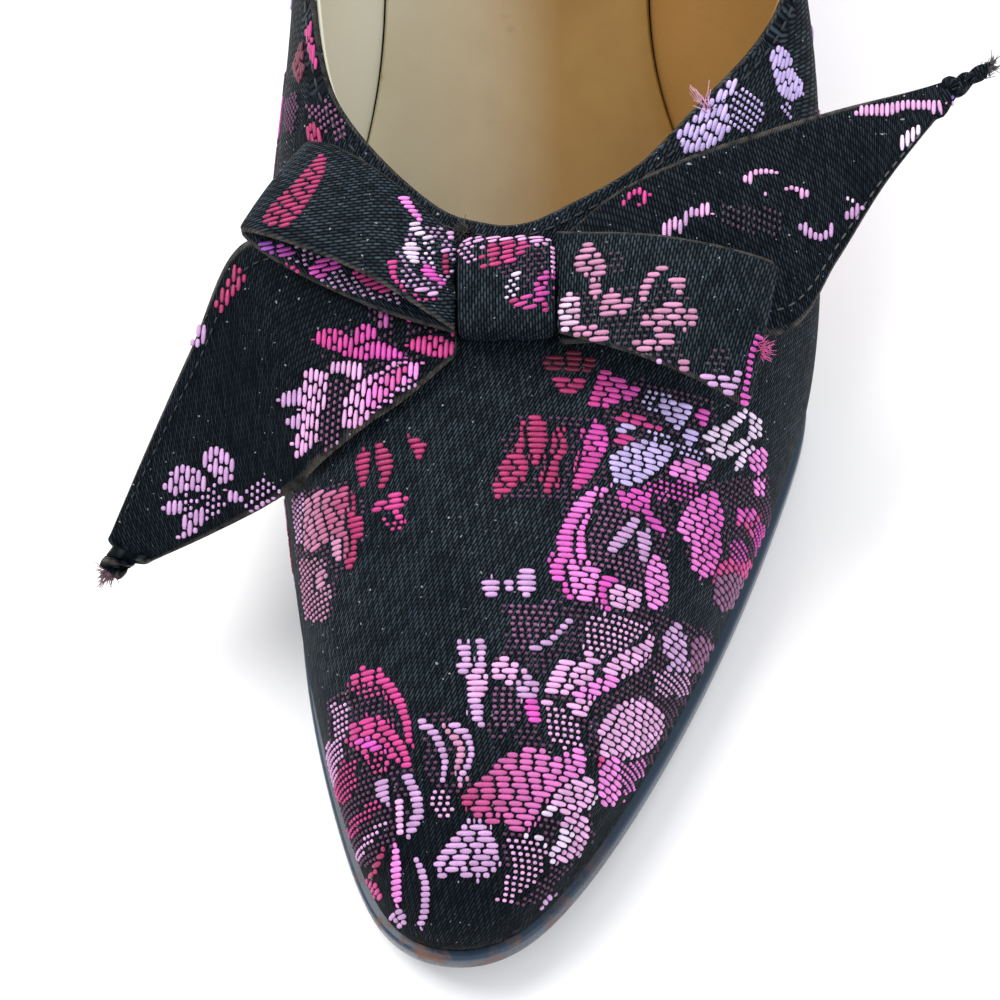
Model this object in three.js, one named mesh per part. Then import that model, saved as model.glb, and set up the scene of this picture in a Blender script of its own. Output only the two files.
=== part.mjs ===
// A woman's brocade pump for the left foot: pointed toe, covered heel and a flat ribbon bow.
// Millimetres. +X is the outer (little toe) side, +Y runs from toe to heel, +Z is up.
// The origin is on the floor, in the middle of the flat tread under the ball of the foot.
import * as THREE from 'three';

// Sizes of the last
const LAST_LENGTH = 236; // feather line, tip to heel back
const BALL_WIDTH = 76; // feather line across the ball
const VAMP_LENGTH = 91; // tip to throat
const INSTEP_HEIGHT = 41; // throat above the feather line
const BACK_HEIGHT = 56; // top of the heel counter above the feather line
const HEEL_HEIGHT = 62; // feather line above the floor at the back
const SEAT_SLOPE = 0.17; // rise of the heel seat for each millimetre backwards
const TOE_SPRING = 5;
const TREAD_START = 58; // flat of the sole, measured back from the tip
const TREAD_LENGTH = 27;

// Thicknesses and fits
const GAP = 0.3; // between pieces that meet
const WALL = 1.8; // brocade, interlining and lining together
const SOLE_THICKNESS = 4.2;
const SOLE_LEDGE = 1.3; // sole showing beyond the upper in the forepart
const WAIST_LEDGE = 0.4;
const INSOLE_THICKNESS = 2.4;
const INSOLE_FIT = 0.6; // between the insole's edge and the wall

// Heel
const SEAT_LENGTH = 46; // heel back to the top of the breast
const TIP_LENGTH = 19;
const TIP_WIDTH = 19;
const TIP_SETBACK = 10; // heel back to the back of the heel tip
const LIFT_THICKNESS = 5;

// Bow
const BOW_SPAN = 125; // tip to tip, across the shoe
const KNOT_SETBACK = 10.3; // throat to the middle of the knot, towards the toe
const KNOT_ACROSS = -1.4;
const KNOT_WIDTH = 13;
const KNOT_LENGTH = 14.5;
const KNOT_HEIGHT = 8;
const RIBBON_THICKNESS = 1.4; // folded cloth
const TWIST_WIDTH = 2.6; // twisted end of each tail

// How finely the curved pieces are cut
const RAYS = 96;
const WALL_STEPS = 10;
const SOLE_STATIONS = 34;
const HEEL_STATIONS = 14;
const OUTLINE_POINTS = 720;

const TREAD_END = TREAD_START + TREAD_LENGTH;
const TREAD_MIDDLE = TREAD_START + TREAD_LENGTH / 2;
const SOLE_TOP = SOLE_THICKNESS + GAP;
const BREAST = LAST_LENGTH - SEAT_LENGTH;

// Sections of the last, from the tip along the inner side to the heel and back along the outer side.
// along: feather line, share of LAST_LENGTH; across: share of BALL_WIDTH
// topAlong: topline, share of the way from throat to heel back; topAcross: share of BALL_WIDTH
// lift: topline height, share of the way from INSTEP_HEIGHT to BACK_HEIGHT
// flare and rise: how the wall leaves the feather line, outwards and up, shares of INSTEP_HEIGHT
// reach: how far the wall leans out below the topline, share of VAMP_LENGTH
// drop: how steeply it falls there, share of INSTEP_HEIGHT
const SECTION_COLUMNS = ['along', 'across', 'topAlong', 'topAcross', 'lift', 'flare', 'rise', 'reach', 'drop'];
const SECTIONS = [
  [0, -0.122, 0, -0.026, 0, 0.024, 0.37, 0.42, 0.22],
  [0.017, -0.238, 0.005, -0.076, 0, 0.024, 0.37, 0.4, 0.22],
  [0.076, -0.324, 0.017, -0.139, 0.02, 0.05, 0.37, 0.33, 0.22],
  [0.178, -0.403, 0.056, -0.229, 0.067, 0.07, 0.37, 0.24, 0.22],
  [0.297, -0.449, 0.109, -0.317, 0.1, 0.12, 0.37, 0.15, 0.24],
  [0.424, -0.464, 0.194, -0.376, 0.133, 0.15, 0.37, 0.08, 0.29],
  [0.593, -0.322, 0.407, -0.399, 0.2, 0.27, 0.34, 0.03, 0.34],
  [0.784, -0.316, 0.683, -0.368, 0.467, 0.15, 0.39, 0.03, 0.39],
  [0.941, -0.224, 0.903, -0.224, 0.867, 0.1, 0.39, 0.03, 0.44],
  [1, 0, 0.979, 0, 1, 0.1, 0.44, 0.03, 0.44],
  [0.941, 0.224, 0.903, 0.224, 0.867, 0.1, 0.39, 0.03, 0.44],
  [0.784, 0.329, 0.683, 0.368, 0.4, 0.15, 0.39, 0.03, 0.39],
  [0.593, 0.3, 0.421, 0.471, 0.033, 0.22, 0.34, 0.03, 0.34],
  [0.424, 0.524, 0.242, 0.512, -0.033, 0.12, 0.34, 0.09, 0.29],
  [0.309, 0.507, 0.132, 0.353, -0.033, 0.1, 0.32, 0.2, 0.27],
  [0.191, 0.354, 0.066, 0.228, -0.033, 0.05, 0.32, 0.31, 0.24],
  [0.085, 0.176, 0.026, 0.109, -0.013, 0.024, 0.34, 0.37, 0.23],
  [0.017, 0.013, 0.005, 0.034, 0, 0.024, 0.37, 0.41, 0.22],
];

// Edge of the sole: depth below its top as a share of the thickness, and how far it stands in
const SOLE_EDGE = [
  { depth: 0, inset: 0.3 },
  { depth: 0.15, inset: 0 },
  { depth: 0.8, inset: 0 },
  { depth: 1, inset: 0.5 },
];

// The heel, from the seat down: share of the drop, and share of the way from seat to tip outline
const HEEL_SECTIONS = [
  { drop: 0, taper: 0 },
  { drop: 0.06, taper: 0.1 },
  { drop: 0.16, taper: 0.34 },
  { drop: 0.3, taper: 0.58 },
  { drop: 0.48, taper: 0.78 },
  { drop: 0.7, taper: 0.92 },
  { drop: 1, taper: 1 },
];

// Folds of the bow, outwards from the knot: the edge nearer the heel, then the edge nearer the toe.
// Each edge is given across the shoe, up the slope of the vamp and out from it, as shares of BOW_SPAN.
const LOOP_MEDIAL = [
  [-0.056, 0.06, 0.042, -0.056, -0.05, 0.042],
  [-0.137, 0.13, 0.056, -0.152, 0.007, 0.066],
  [-0.197, 0.17, 0.045, -0.268, 0.063, 0.046],
  [-0.217, 0.175, 0.026, -0.29, 0.072, 0.026],
  [-0.193, 0.152, 0.012, -0.262, 0.05, 0.012],
  [-0.129, 0.1, 0.018, -0.144, -0.015, 0.018],
  [-0.056, 0.056, 0.025, -0.056, -0.048, 0.025],
];
const LOOP_LATERAL = [
  [0.056, 0.06, 0.045, 0.056, -0.056, 0.045],
  [0.165, 0.04, 0.078, 0.157, -0.085, 0.074],
  [0.262, 0.016, 0.078, 0.236, -0.122, 0.062],
  [0.285, 0.01, 0.064, 0.253, -0.134, 0.042],
  [0.257, 0.004, 0.046, 0.227, -0.128, 0.024],
  [0.16, 0.02, 0.032, 0.152, -0.09, 0.02],
  [0.056, 0.055, 0.026, 0.056, -0.05, 0.026],
];
const TAIL_MEDIAL = [
  [-0.056, 0.05, 0.012, -0.056, -0.068, 0.012],
  [-0.137, 0.075, 0.012, -0.112, -0.116, -0.008],
  [-0.225, 0.088, -0.01, -0.168, -0.152, -0.036],
  [-0.304, 0.086, -0.042, -0.216, -0.178, -0.062],
  [-0.36, -0.026, -0.068, -0.272, -0.207, -0.084],
  [-0.41, -0.138, -0.086, -0.336, -0.236, -0.096],
  [-0.45, -0.233, -0.1, -0.402, -0.264, -0.103],
];
const TAIL_LATERAL = [
  [0.056, 0.062, 0.013, 0.056, -0.058, 0.013],
  [0.12, 0.115, 0.018, 0.12, -0.055, 0.013],
  [0.2, 0.15, 0.032, 0.2, -0.044, 0.01],
  [0.287, 0.177, 0.038, 0.306, -0.04, -0.006],
  [0.372, 0.202, 0.037, 0.36, 0.036, 0.006],
  [0.44, 0.219, 0.036, 0.412, 0.114, 0.028],
  [0.48, 0.23, 0.036, 0.468, 0.184, 0.036],
];
const TIP_MEDIAL = [-0.468, -0.292, -0.112];
const TIP_LATERAL = [0.532, 0.248, 0.034];

const brocade = new THREE.MeshStandardMaterial({ color: 0x1b1620, roughness: 0.55, metalness: 0 });
const soleLeather = new THREE.MeshStandardMaterial({ color: 0x1a1715, roughness: 0.6, metalness: 0 });
const sockLeather = new THREE.MeshStandardMaterial({ color: 0xb29a63, roughness: 0.55, metalness: 0 });
const liftRubber = new THREE.MeshStandardMaterial({ color: 0x151414, roughness: 0.8, metalness: 0 });

// Blends that the forms are worked out with
function mix(a, b, share) {
  return a + (b - a) * share;
}

function smooth(share) {
  const held = Math.min(1, Math.max(0, share));
  return held * held * (3 - 2 * held);
}

function place(across, along, height) {
  return new THREE.Vector3(across, along - TREAD_MIDDLE, height);
}

// Height of the feather line over the floor: toe spring, flat tread, shank and sloping heel seat
function featherHeight(along) {
  const rise = Math.max(0, (along - TREAD_END) / (LAST_LENGTH - TREAD_END));
  const shank = (HEEL_HEIGHT - SOLE_TOP) * rise * rise * (3 - 2 * rise);
  const seat = SEAT_SLOPE * rise * rise * (rise - 1) * (LAST_LENGTH - TREAD_END);
  const spring = Math.max(0, (TREAD_START - along) / TREAD_START);
  return SOLE_TOP + shank + seat + TOE_SPRING * spring * spring;
}

// Smooth closed curve through one column of a table, with the rows at whole numbers
function closedCurve(values) {
  const count = values.length;
  const at = (index) => values[((index % count) + count) % count];
  let slopes = values.map((value, index) => (at(index + 1) - at(index - 1)) / 2);
  for (let pass = 0; pass < 40; pass += 1) {
    slopes = slopes.map((slope, index) => {
      const around = slopes[(index + 1) % count] + slopes[(index + count - 1) % count];
      return (3 * (at(index + 1) - at(index - 1)) - around) / 4;
    });
  }
  return (position) => {
    const start = Math.floor(position);
    const t = position - start;
    const slope = slopes[((start % count) + count) % count];
    const next = slopes[(((start + 1) % count) + count) % count];
    const bend = (1 - t) * (1 - t);
    return (1 + 2 * t) * bend * at(start) + t * bend * slope
      + t * t * (3 - 2 * t) * at(start + 1) + t * t * (t - 1) * next;
  };
}

const section = {};
SECTION_COLUMNS.forEach((column, index) => {
  section[column] = closedCurve(SECTIONS.map((row) => row[index]));
});

function featherPoint(position) {
  const across = section.across(position) * BALL_WIDTH;
  const along = section.along(position) * LAST_LENGTH;
  return place(across, along, featherHeight(along));
}

function toplinePoint(position) {
  const across = section.topAcross(position) * BALL_WIDTH;
  const along = mix(VAMP_LENGTH, LAST_LENGTH, section.topAlong(position));
  const lift = mix(INSTEP_HEIGHT, BACK_HEIGHT, section.lift(position));
  return place(across, along, featherHeight(along) + lift);
}

// Direction straight out of a plan outline that runs from the tip along the inner side
function outwards(pointAt, position) {
  const step = 0.001;
  const ahead = pointAt(position + step);
  const behind = pointAt(position - step);
  return new THREE.Vector3(behind.y - ahead.y, ahead.x - behind.x, 0).normalize();
}

// The outer face of the upper: height 0 is the feather line and 1 the topline
function upperPoint(position, height) {
  const feather = featherPoint(position);
  const topline = toplinePoint(position);
  const leaving = outwards(featherPoint, position).multiplyScalar(section.flare(position) * INSTEP_HEIGHT);
  leaving.z = section.rise(position) * INSTEP_HEIGHT;
  const arriving = outwards(toplinePoint, position).multiplyScalar(section.reach(position) * VAMP_LENGTH);
  arriving.z = -section.drop(position) * INSTEP_HEIGHT;
  const wall = new THREE.CubicBezierCurve3(feather, feather.clone().add(leaving), topline.clone().add(arriving), topline);
  return wall.getPoint(height);
}

function upperInside(position, height) {
  const step = 0.002;
  const low = Math.max(0, height - step);
  const high = Math.min(1, height + step);
  const point = upperPoint(position, height);
  const around = upperPoint(position + step, height).sub(upperPoint(position - step, height));
  const upwards = upperPoint(position, high).sub(upperPoint(position, low));
  const inwards = around.cross(upwards).normalize();
  point.addScaledVector(inwards, WALL);
  if (height === 0) {
    point.z = featherHeight(point.y + TREAD_MIDDLE);
  }
  return point;
}

// A solid from its points and faces, turned so that the faces point outwards
function solid(name, points, faces, material) {
  let volume = 0;
  const cross = new THREE.Vector3();
  faces.forEach(([a, b, c]) => {
    volume += cross.crossVectors(points[a], points[b]).dot(points[c]);
  });
  const ordered = volume < 0 ? faces.map(([a, b, c]) => [a, c, b]) : faces;
  const geometry = new THREE.BufferGeometry();
  geometry.setAttribute('position', new THREE.Float32BufferAttribute(points.flatMap((point) => point.toArray()), 3));
  geometry.setIndex(ordered.flat());
  geometry.computeVertexNormals();
  const mesh = new THREE.Mesh(geometry, material);
  mesh.name = name;
  return mesh;
}

function quad(faces, a, b, c, d) {
  if (a !== b && b !== c && c !== a) {
    faces.push([a, b, c]);
  }
  if (a !== c && c !== d && d !== a) {
    faces.push([a, c, d]);
  }
}

// The upper: one wall all round, each ray running up its outer face and down its inner face
function makeUpper() {
  const points = [];
  const faces = [];
  const perRay = 2 * (WALL_STEPS + 1);
  for (let ray = 0; ray < RAYS; ray += 1) {
    const position = (ray / RAYS) * SECTIONS.length;
    for (let step = 0; step <= WALL_STEPS; step += 1) {
      points.push(upperPoint(position, step / WALL_STEPS));
    }
    for (let step = WALL_STEPS; step >= 0; step -= 1) {
      points.push(upperInside(position, step / WALL_STEPS));
    }
  }
  for (let ray = 0; ray < RAYS; ray += 1) {
    const next = (ray + 1) % RAYS;
    for (let k = 0; k < perRay; k += 1) {
      const l = (k + 1) % perRay;
      quad(faces, ray * perRay + k, next * perRay + k, next * perRay + l, ray * perRay + l);
    }
  }
  return solid('upper', points, faces, brocade);
}

// Plan outline of the feather line, moved outwards, as inner and outer sides from toe to heel
function planOutline(outsetAt) {
  const loop = [];
  for (let k = 0; k < OUTLINE_POINTS; k += 1) {
    const position = (k / OUTLINE_POINTS) * SECTIONS.length;
    const point = featherPoint(position);
    const outset = outsetAt(point.y + TREAD_MIDDLE);
    point.addScaledVector(outwards(featherPoint, position), outset);
    loop.push({ across: point.x, along: point.y + TREAD_MIDDLE });
  }
  let tip = 0;
  let back = 0;
  loop.forEach((point, index) => {
    tip = point.along < loop[tip].along ? index : tip;
    back = point.along > loop[back].along ? index : back;
  });
  const walk = (from, to, step) => {
    const side = [loop[from]];
    for (let k = from; k !== to;) {
      k = (k + step + loop.length) % loop.length;
      side.push(loop[k]);
    }
    return side;
  };
  return { medial: walk(tip, back, 1), lateral: walk(tip, back, -1), tip: loop[tip], back: loop[back] };
}

function acrossAt(side, along) {
  for (let k = 1; k < side.length; k += 1) {
    if (side[k].along >= along) {
      const span = side[k].along - side[k - 1].along || 1;
      return mix(side[k - 1].across, side[k].across, (along - side[k - 1].along) / span);
    }
  }
  return side[side.length - 1].across;
}

// Stations of an outline between two places, each with its inner and outer point
function stationsAlong(outline, places) {
  return places.map((along) => {
    if (along <= outline.tip.along) {
      return { along: outline.tip.along, medial: outline.tip.across, lateral: outline.tip.across };
    }
    if (along >= outline.back.along) {
      return { along: outline.back.along, medial: outline.back.across, lateral: outline.back.across };
    }
    return { along, medial: acrossAt(outline.medial, along), lateral: acrossAt(outline.lateral, along) };
  });
}

// A solid from outlines stacked on each other. Each is a list of stations with a height of its own,
// and the faces that close it run straight across from the inner side to the outer side.
function stackOutlines(name, outlines, material) {
  const points = [];
  const faces = [];
  const rings = outlines.map((stations) => {
    const medial = stations.map((station) => points.push(place(station.medial, station.along, station.height)) - 1);
    const lateral = stations.map((station, index) => {
      const closes = Math.abs(station.medial - station.lateral) < 0.001;
      return closes ? medial[index] : points.push(place(station.lateral, station.along, station.height)) - 1;
    });
    return { medial, lateral };
  });
  const last = outlines[0].length - 1;
  for (let ring = 1; ring < rings.length; ring += 1) {
    const a = rings[ring - 1];
    const b = rings[ring];
    for (let k = 0; k < last; k += 1) {
      quad(faces, a.medial[k], a.medial[k + 1], b.medial[k + 1], b.medial[k]);
      quad(faces, a.lateral[k], b.lateral[k], b.lateral[k + 1], a.lateral[k + 1]);
    }
    if (a.medial[0] !== a.lateral[0]) {
      quad(faces, a.lateral[0], a.medial[0], b.medial[0], b.lateral[0]);
    }
    if (a.medial[last] !== a.lateral[last]) {
      quad(faces, a.medial[last], a.lateral[last], b.lateral[last], b.medial[last]);
    }
  }
  for (let k = 0; k < last; k += 1) {
    const top = rings[0];
    const foot = rings[rings.length - 1];
    quad(faces, top.medial[k], top.lateral[k], top.lateral[k + 1], top.medial[k + 1]);
    quad(faces, foot.medial[k], foot.medial[k + 1], foot.lateral[k + 1], foot.lateral[k]);
  }
  return solid(name, points, faces, material);
}

// Places from one end to the other, closer together where the outline turns
function spread(from, to, count, power) {
  return Array.from({ length: count + 1 }, (unused, k) => mix(from, to, (k / count) ** power));
}

function withTread(places) {
  const others = places.filter((along) => Math.min(Math.abs(along - TREAD_START), Math.abs(along - TREAD_END)) > 1);
  return [...others, TREAD_START, TREAD_END].sort((a, b) => a - b);
}

// Outsole: a plate under the feather line, with a ledge in the forepart, ending at the heel breast
function makeOutsole() {
  const waist = (along) => smooth((along - TREAD_END) / (LAST_LENGTH - TREAD_END) * 3);
  const ledge = (along) => mix(SOLE_LEDGE, WAIST_LEDGE, waist(along));
  const end = BREAST - GAP;
  const shares = spread(0, 1, SOLE_STATIONS, 1.5);
  const outlines = SOLE_EDGE.map(({ depth, inset }) => {
    const outline = planOutline((along) => ledge(along) - inset);
    const places = withTread(shares.map((share) => mix(outline.tip.along, end, share)));
    return stationsAlong(outline, places).map((station) => ({
      ...station,
      height: featherHeight(station.along) - GAP - depth * SOLE_THICKNESS,
    }));
  });
  return stackOutlines('outsole', outlines, soleLeather);
}

// Insole board, inside the wall, from toe to heel
function makeInsole() {
  const outline = planOutline(() => -WALL - INSOLE_FIT);
  const half = spread(0, 0.5, SOLE_STATIONS / 2, 1.6);
  const shares = [...half, ...half.slice(0, -1).reverse().map((share) => 1 - share)];
  const places = withTread(shares.map((share) => mix(outline.tip.along, outline.back.along, share)));
  const outlines = [INSOLE_THICKNESS, 0].map((lift) => stationsAlong(outline, places).map((station) => ({
    ...station,
    height: featherHeight(station.along) + lift,
  })));
  return stackOutlines('insole', outlines, sockLeather);
}

// Plan of the heel tip: straight in front and round behind
function tipStations(shares, height) {
  const front = LAST_LENGTH - TIP_SETBACK - TIP_LENGTH;
  const roundness = 2.6;
  return shares.map((share) => {
    const half = (TIP_WIDTH / 2) * (1 - share ** roundness) ** (1 / roundness);
    return { along: front + share * TIP_LENGTH, medial: -half, lateral: half, height };
  });
}

function heelShares() {
  return spread(0, 1, HEEL_STATIONS, 1.8).map((share) => 1 - share).reverse();
}

// Covered heel: the seat takes the outline of the upper and tapers to the tip
function makeHeel() {
  const outline = planOutline(() => WAIST_LEDGE);
  const shares = heelShares();
  const seat = stationsAlong(outline, shares.map((share) => mix(BREAST, outline.back.along, share)));
  const tip = tipStations(shares, LIFT_THICKNESS + GAP);
  const outlines = HEEL_SECTIONS.map(({ drop, taper }) => seat.map((station, index) => ({
    along: mix(station.along, tip[index].along, taper),
    medial: mix(station.medial, tip[index].medial, taper),
    lateral: mix(station.lateral, tip[index].lateral, taper),
    height: mix(featherHeight(station.along) - GAP, tip[index].height, drop),
  })));
  return stackOutlines('heel', outlines, brocade);
}

function makeTopLift() {
  const shares = heelShares();
  return stackOutlines('top_lift', [tipStations(shares, LIFT_THICKNESS), tipStations(shares, 0)], liftRubber);
}

const upper = makeUpper();

// Height of the upper's outer face over a place in plan, or nothing beside the shoe
function coverHeight(across, along) {
  const spots = upper.geometry.getAttribute('position');
  const perRay = 2 * (WALL_STEPS + 1);
  const y = along - TREAD_MIDDLE;
  const corners = [new THREE.Vector3(), new THREE.Vector3(), new THREE.Vector3()];
  let highest = -Infinity;
  const test = (indices) => {
    indices.forEach((index, k) => corners[k].fromBufferAttribute(spots, index));
    const [a, b, c] = corners;
    const area = (b.x - a.x) * (c.y - a.y) - (c.x - a.x) * (b.y - a.y);
    const v = ((across - a.x) * (c.y - a.y) - (c.x - a.x) * (y - a.y)) / area;
    const w = ((b.x - a.x) * (y - a.y) - (across - a.x) * (b.y - a.y)) / area;
    if (v >= 0 && w >= 0 && v + w <= 1) {
      highest = Math.max(highest, a.z + v * (b.z - a.z) + w * (c.z - a.z));
    }
  };
  for (let ray = 0; ray < RAYS; ray += 1) {
    const here = ray * perRay;
    const next = ((ray + 1) % RAYS) * perRay;
    for (let step = 0; step < WALL_STEPS; step += 1) {
      test([here + step, next + step, next + step + 1]);
      test([here + step, next + step + 1, here + step + 1]);
    }
  }
  return highest;
}

// The bow's own frame, on the vamp under the middle of the knot
const knotAlong = VAMP_LENGTH - KNOT_SETBACK;
const knotSlope = (coverHeight(KNOT_ACROSS, knotAlong + 2) - coverHeight(KNOT_ACROSS, knotAlong - 2)) / 4;
const bowSeat = place(KNOT_ACROSS, knotAlong, coverHeight(KNOT_ACROSS, knotAlong));
const bowUp = new THREE.Vector3(0, 1, knotSlope).normalize();
const bowOut = new THREE.Vector3(1, 0, 0).cross(bowUp);

function bowPoint(across, up, out) {
  const point = bowSeat.clone().addScaledVector(bowUp, up).addScaledVector(bowOut, out);
  point.x += across;
  return point;
}

// Lifts a point that would come too near the vamp
function drape(point, clear) {
  const floor = coverHeight(point.x, point.y + TREAD_MIDDLE) + clear;
  point.z = Math.max(point.z, floor);
  return point;
}

function edgeCurve(rows, first) {
  const points = rows.map((row) => bowPoint(...row.slice(first, first + 3).map((share) => share * BOW_SPAN)));
  return new THREE.CatmullRomCurve3(points, false, 'centripetal');
}

// A folded strip of cloth between its two edges, kept clear of the vamp
function makeStrip(name, rows, { steps, crown, clear, tip }) {
  const widthSteps = 5;
  const edges = [edgeCurve(rows, 0), edgeCurve(rows, 3)];
  const middle = [];
  for (let k = 0; k <= steps; k += 1) {
    const [heelEdge, toeEdge] = edges.map((edge) => edge.getPoint(k / steps));
    middle.push(Array.from({ length: widthSteps + 1 }, (unused, j) => {
      const share = j / widthSteps;
      const point = heelEdge.clone().lerp(toeEdge, share);
      point.addScaledVector(bowOut, crown * 4 * share * (1 - share) * Math.sin((Math.PI * k) / steps));
      return drape(point, clear);
    }));
  }
  if (tip) {
    const end = bowPoint(...tip.map((share) => share * BOW_SPAN));
    const across = middle[steps][widthSteps].clone().sub(middle[steps][0]).normalize();
    [0.35, 1].forEach((share) => {
      middle.push(Array.from({ length: widthSteps + 1 }, (unused, j) => {
        const last = middle[steps][Math.floor(widthSteps / 2)];
        const spread = (j / widthSteps - 0.5) * TWIST_WIDTH;
        return last.clone().lerp(end, share).addScaledVector(across, spread);
      }));
    });
  }
  return stripSolid(name, middle);
}

// Gives a grid of middle points its thickness, thinner along its two edges
function stripSolid(name, middle) {
  const rows = middle.length;
  const columns = middle[0].length;
  const points = [];
  const faces = [];
  const faceOf = (side, k, j) => side * rows * columns + k * columns + j;
  [1, -1].forEach((side) => {
    middle.forEach((row, k) => row.forEach((point, j) => {
      const along = middle[Math.min(rows - 1, k + 1)][j].clone().sub(middle[Math.max(0, k - 1)][j]);
      const across = row[Math.min(columns - 1, j + 1)].clone().sub(row[Math.max(0, j - 1)]);
      const rim = j === 0 || j === columns - 1 ? 0.55 : 1;
      points.push(point.clone().addScaledVector(along.cross(across).normalize(), (side * rim * RIBBON_THICKNESS) / 2));
    }));
  });
  for (let k = 0; k < rows - 1; k += 1) {
    for (let j = 0; j < columns - 1; j += 1) {
      quad(faces, faceOf(0, k, j), faceOf(0, k + 1, j), faceOf(0, k + 1, j + 1), faceOf(0, k, j + 1));
      quad(faces, faceOf(1, k, j), faceOf(1, k, j + 1), faceOf(1, k + 1, j + 1), faceOf(1, k + 1, j));
    }
    const j = columns - 1;
    quad(faces, faceOf(0, k, 0), faceOf(1, k, 0), faceOf(1, k + 1, 0), faceOf(0, k + 1, 0));
    quad(faces, faceOf(0, k, j), faceOf(0, k + 1, j), faceOf(1, k + 1, j), faceOf(1, k, j));
  }
  for (let j = 0; j < columns - 1; j += 1) {
    const k = rows - 1;
    quad(faces, faceOf(0, 0, j), faceOf(0, 0, j + 1), faceOf(1, 0, j + 1), faceOf(1, 0, j));
    quad(faces, faceOf(0, k, j), faceOf(1, k, j), faceOf(1, k, j + 1), faceOf(0, k, j + 1));
  }
  return solid(name, points, faces, brocade);
}

// The knot: a soft band over the gathered ribbon, its underside following the vamp
function makeKnot() {
  const rings = 8;
  const around = 20;
  const points = [];
  const faces = [];
  for (let ring = 0; ring <= rings; ring += 1) {
    const share = ring / rings;
    const end = Math.abs(2 * share - 1);
    const swell = 1 - 0.12 * end ** 4;
    for (let k = 0; k < around; k += 1) {
      const angle = (2 * Math.PI * k) / around;
      const cosine = Math.cos(angle);
      const sine = Math.sin(angle);
      const squareness = 0.7;
      const up = (KNOT_LENGTH / 2) * swell * Math.sign(cosine) * Math.abs(cosine) ** squareness;
      const out = (KNOT_HEIGHT / 2) * (1 + swell * Math.sign(sine) * Math.abs(sine) ** squareness);
      points.push(drape(bowPoint((share - 0.5) * KNOT_WIDTH, up, out), GAP + 0.1));
    }
  }
  for (let ring = 0; ring < rings; ring += 1) {
    for (let k = 0; k < around; k += 1) {
      const l = (k + 1) % around;
      quad(faces, ring * around + k, (ring + 1) * around + k, (ring + 1) * around + l, ring * around + l);
    }
  }
  for (let k = 1; k < around - 1; k += 1) {
    faces.push([0, k, k + 1]);
    const first = rings * around;
    faces.push([first, first + k + 1, first + k]);
  }
  return solid('bow_knot', points, faces, brocade);
}

const tailClear = GAP + RIBBON_THICKNESS;
const loopClear = tailClear + GAP + RIBBON_THICKNESS;
const loopShape = { steps: 30, crown: 1.2, clear: loopClear };
const tailShape = { steps: 20, crown: 0.8, clear: tailClear };

const pump = new THREE.Group();
pump.add(makeOutsole());
pump.add(makeHeel());
pump.add(makeTopLift());
pump.add(makeInsole());
pump.add(upper);
pump.add(makeKnot());
pump.add(makeStrip('bow_loop_medial', LOOP_MEDIAL, loopShape));
pump.add(makeStrip('bow_loop_lateral', LOOP_LATERAL, loopShape));
pump.add(makeStrip('bow_tail_medial', TAIL_MEDIAL, { ...tailShape, tip: TIP_MEDIAL }));
pump.add(makeStrip('bow_tail_lateral', TAIL_LATERAL, { ...tailShape, tip: TIP_LATERAL }));

export default pump;
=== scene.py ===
import math

import bmesh
import bpy
import numpy as np
from mathutils import Matrix, Vector
from mathutils.bvhtree import BVHTree


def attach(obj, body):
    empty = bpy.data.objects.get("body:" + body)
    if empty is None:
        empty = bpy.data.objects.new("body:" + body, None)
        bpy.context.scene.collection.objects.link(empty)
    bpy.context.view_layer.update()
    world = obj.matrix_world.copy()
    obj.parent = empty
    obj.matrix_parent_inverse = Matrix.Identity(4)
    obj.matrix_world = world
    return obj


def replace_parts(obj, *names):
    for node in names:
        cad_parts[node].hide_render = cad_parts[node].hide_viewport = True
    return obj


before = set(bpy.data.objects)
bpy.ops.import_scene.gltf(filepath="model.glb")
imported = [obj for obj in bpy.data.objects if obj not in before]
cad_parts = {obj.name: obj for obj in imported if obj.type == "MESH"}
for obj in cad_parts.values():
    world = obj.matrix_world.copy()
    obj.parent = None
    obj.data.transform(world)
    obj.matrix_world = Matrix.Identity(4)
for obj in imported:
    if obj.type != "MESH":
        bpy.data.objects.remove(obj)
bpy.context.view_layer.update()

MM = 0.001

# Camera, solved from the outline of the shoe
PHOTO_SIZE = 1000
SENSOR = 36.0
FOCAL_PIXELS = 2039.7
CAMERA_PLACE = np.array([7.9, -147.3, 275.3])
CAMERA_YAW = 0.081
CAMERA_PITCH = 1.074
CAMERA_ROLL = -0.086

# Sizes of the last, as in the CAD source
LAST_LENGTH = 236
BALL_WIDTH = 76
VAMP_LENGTH = 91
INSTEP_HEIGHT = 41
BACK_HEIGHT = 56
HEEL_HEIGHT = 62
SEAT_SLOPE = 0.17
TOE_SPRING = 5
TREAD_START = 58
TREAD_END = 85
TREAD_MIDDLE = 71.5
GAP = 0.3
WALL = 1.8
SOLE_THICKNESS = 4.2
SOLE_TOP = SOLE_THICKNESS + GAP
SOLE_LEDGE = 1.3
WAIST_LEDGE = 0.4
INSOLE_THICKNESS = 2.4
SEAT_LENGTH = 46
BREAST = LAST_LENGTH - SEAT_LENGTH
TIP_LENGTH = 19
TIP_WIDTH = 19
TIP_SETBACK = 10
LIFT_THICKNESS = 5

# Sizes of the bow, as in the CAD source
BOW_SPAN = 125
KNOT_SETBACK = 10.3
KNOT_ACROSS = -1.4
KNOT_WIDTH = 13
KNOT_LENGTH = 14.5
KNOT_HEIGHT = 8
RIBBON_THICKNESS = 1.4

# Layers of the wall
CLOTH_THICKNESS = 1.0
LINING_START = 1.05

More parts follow.
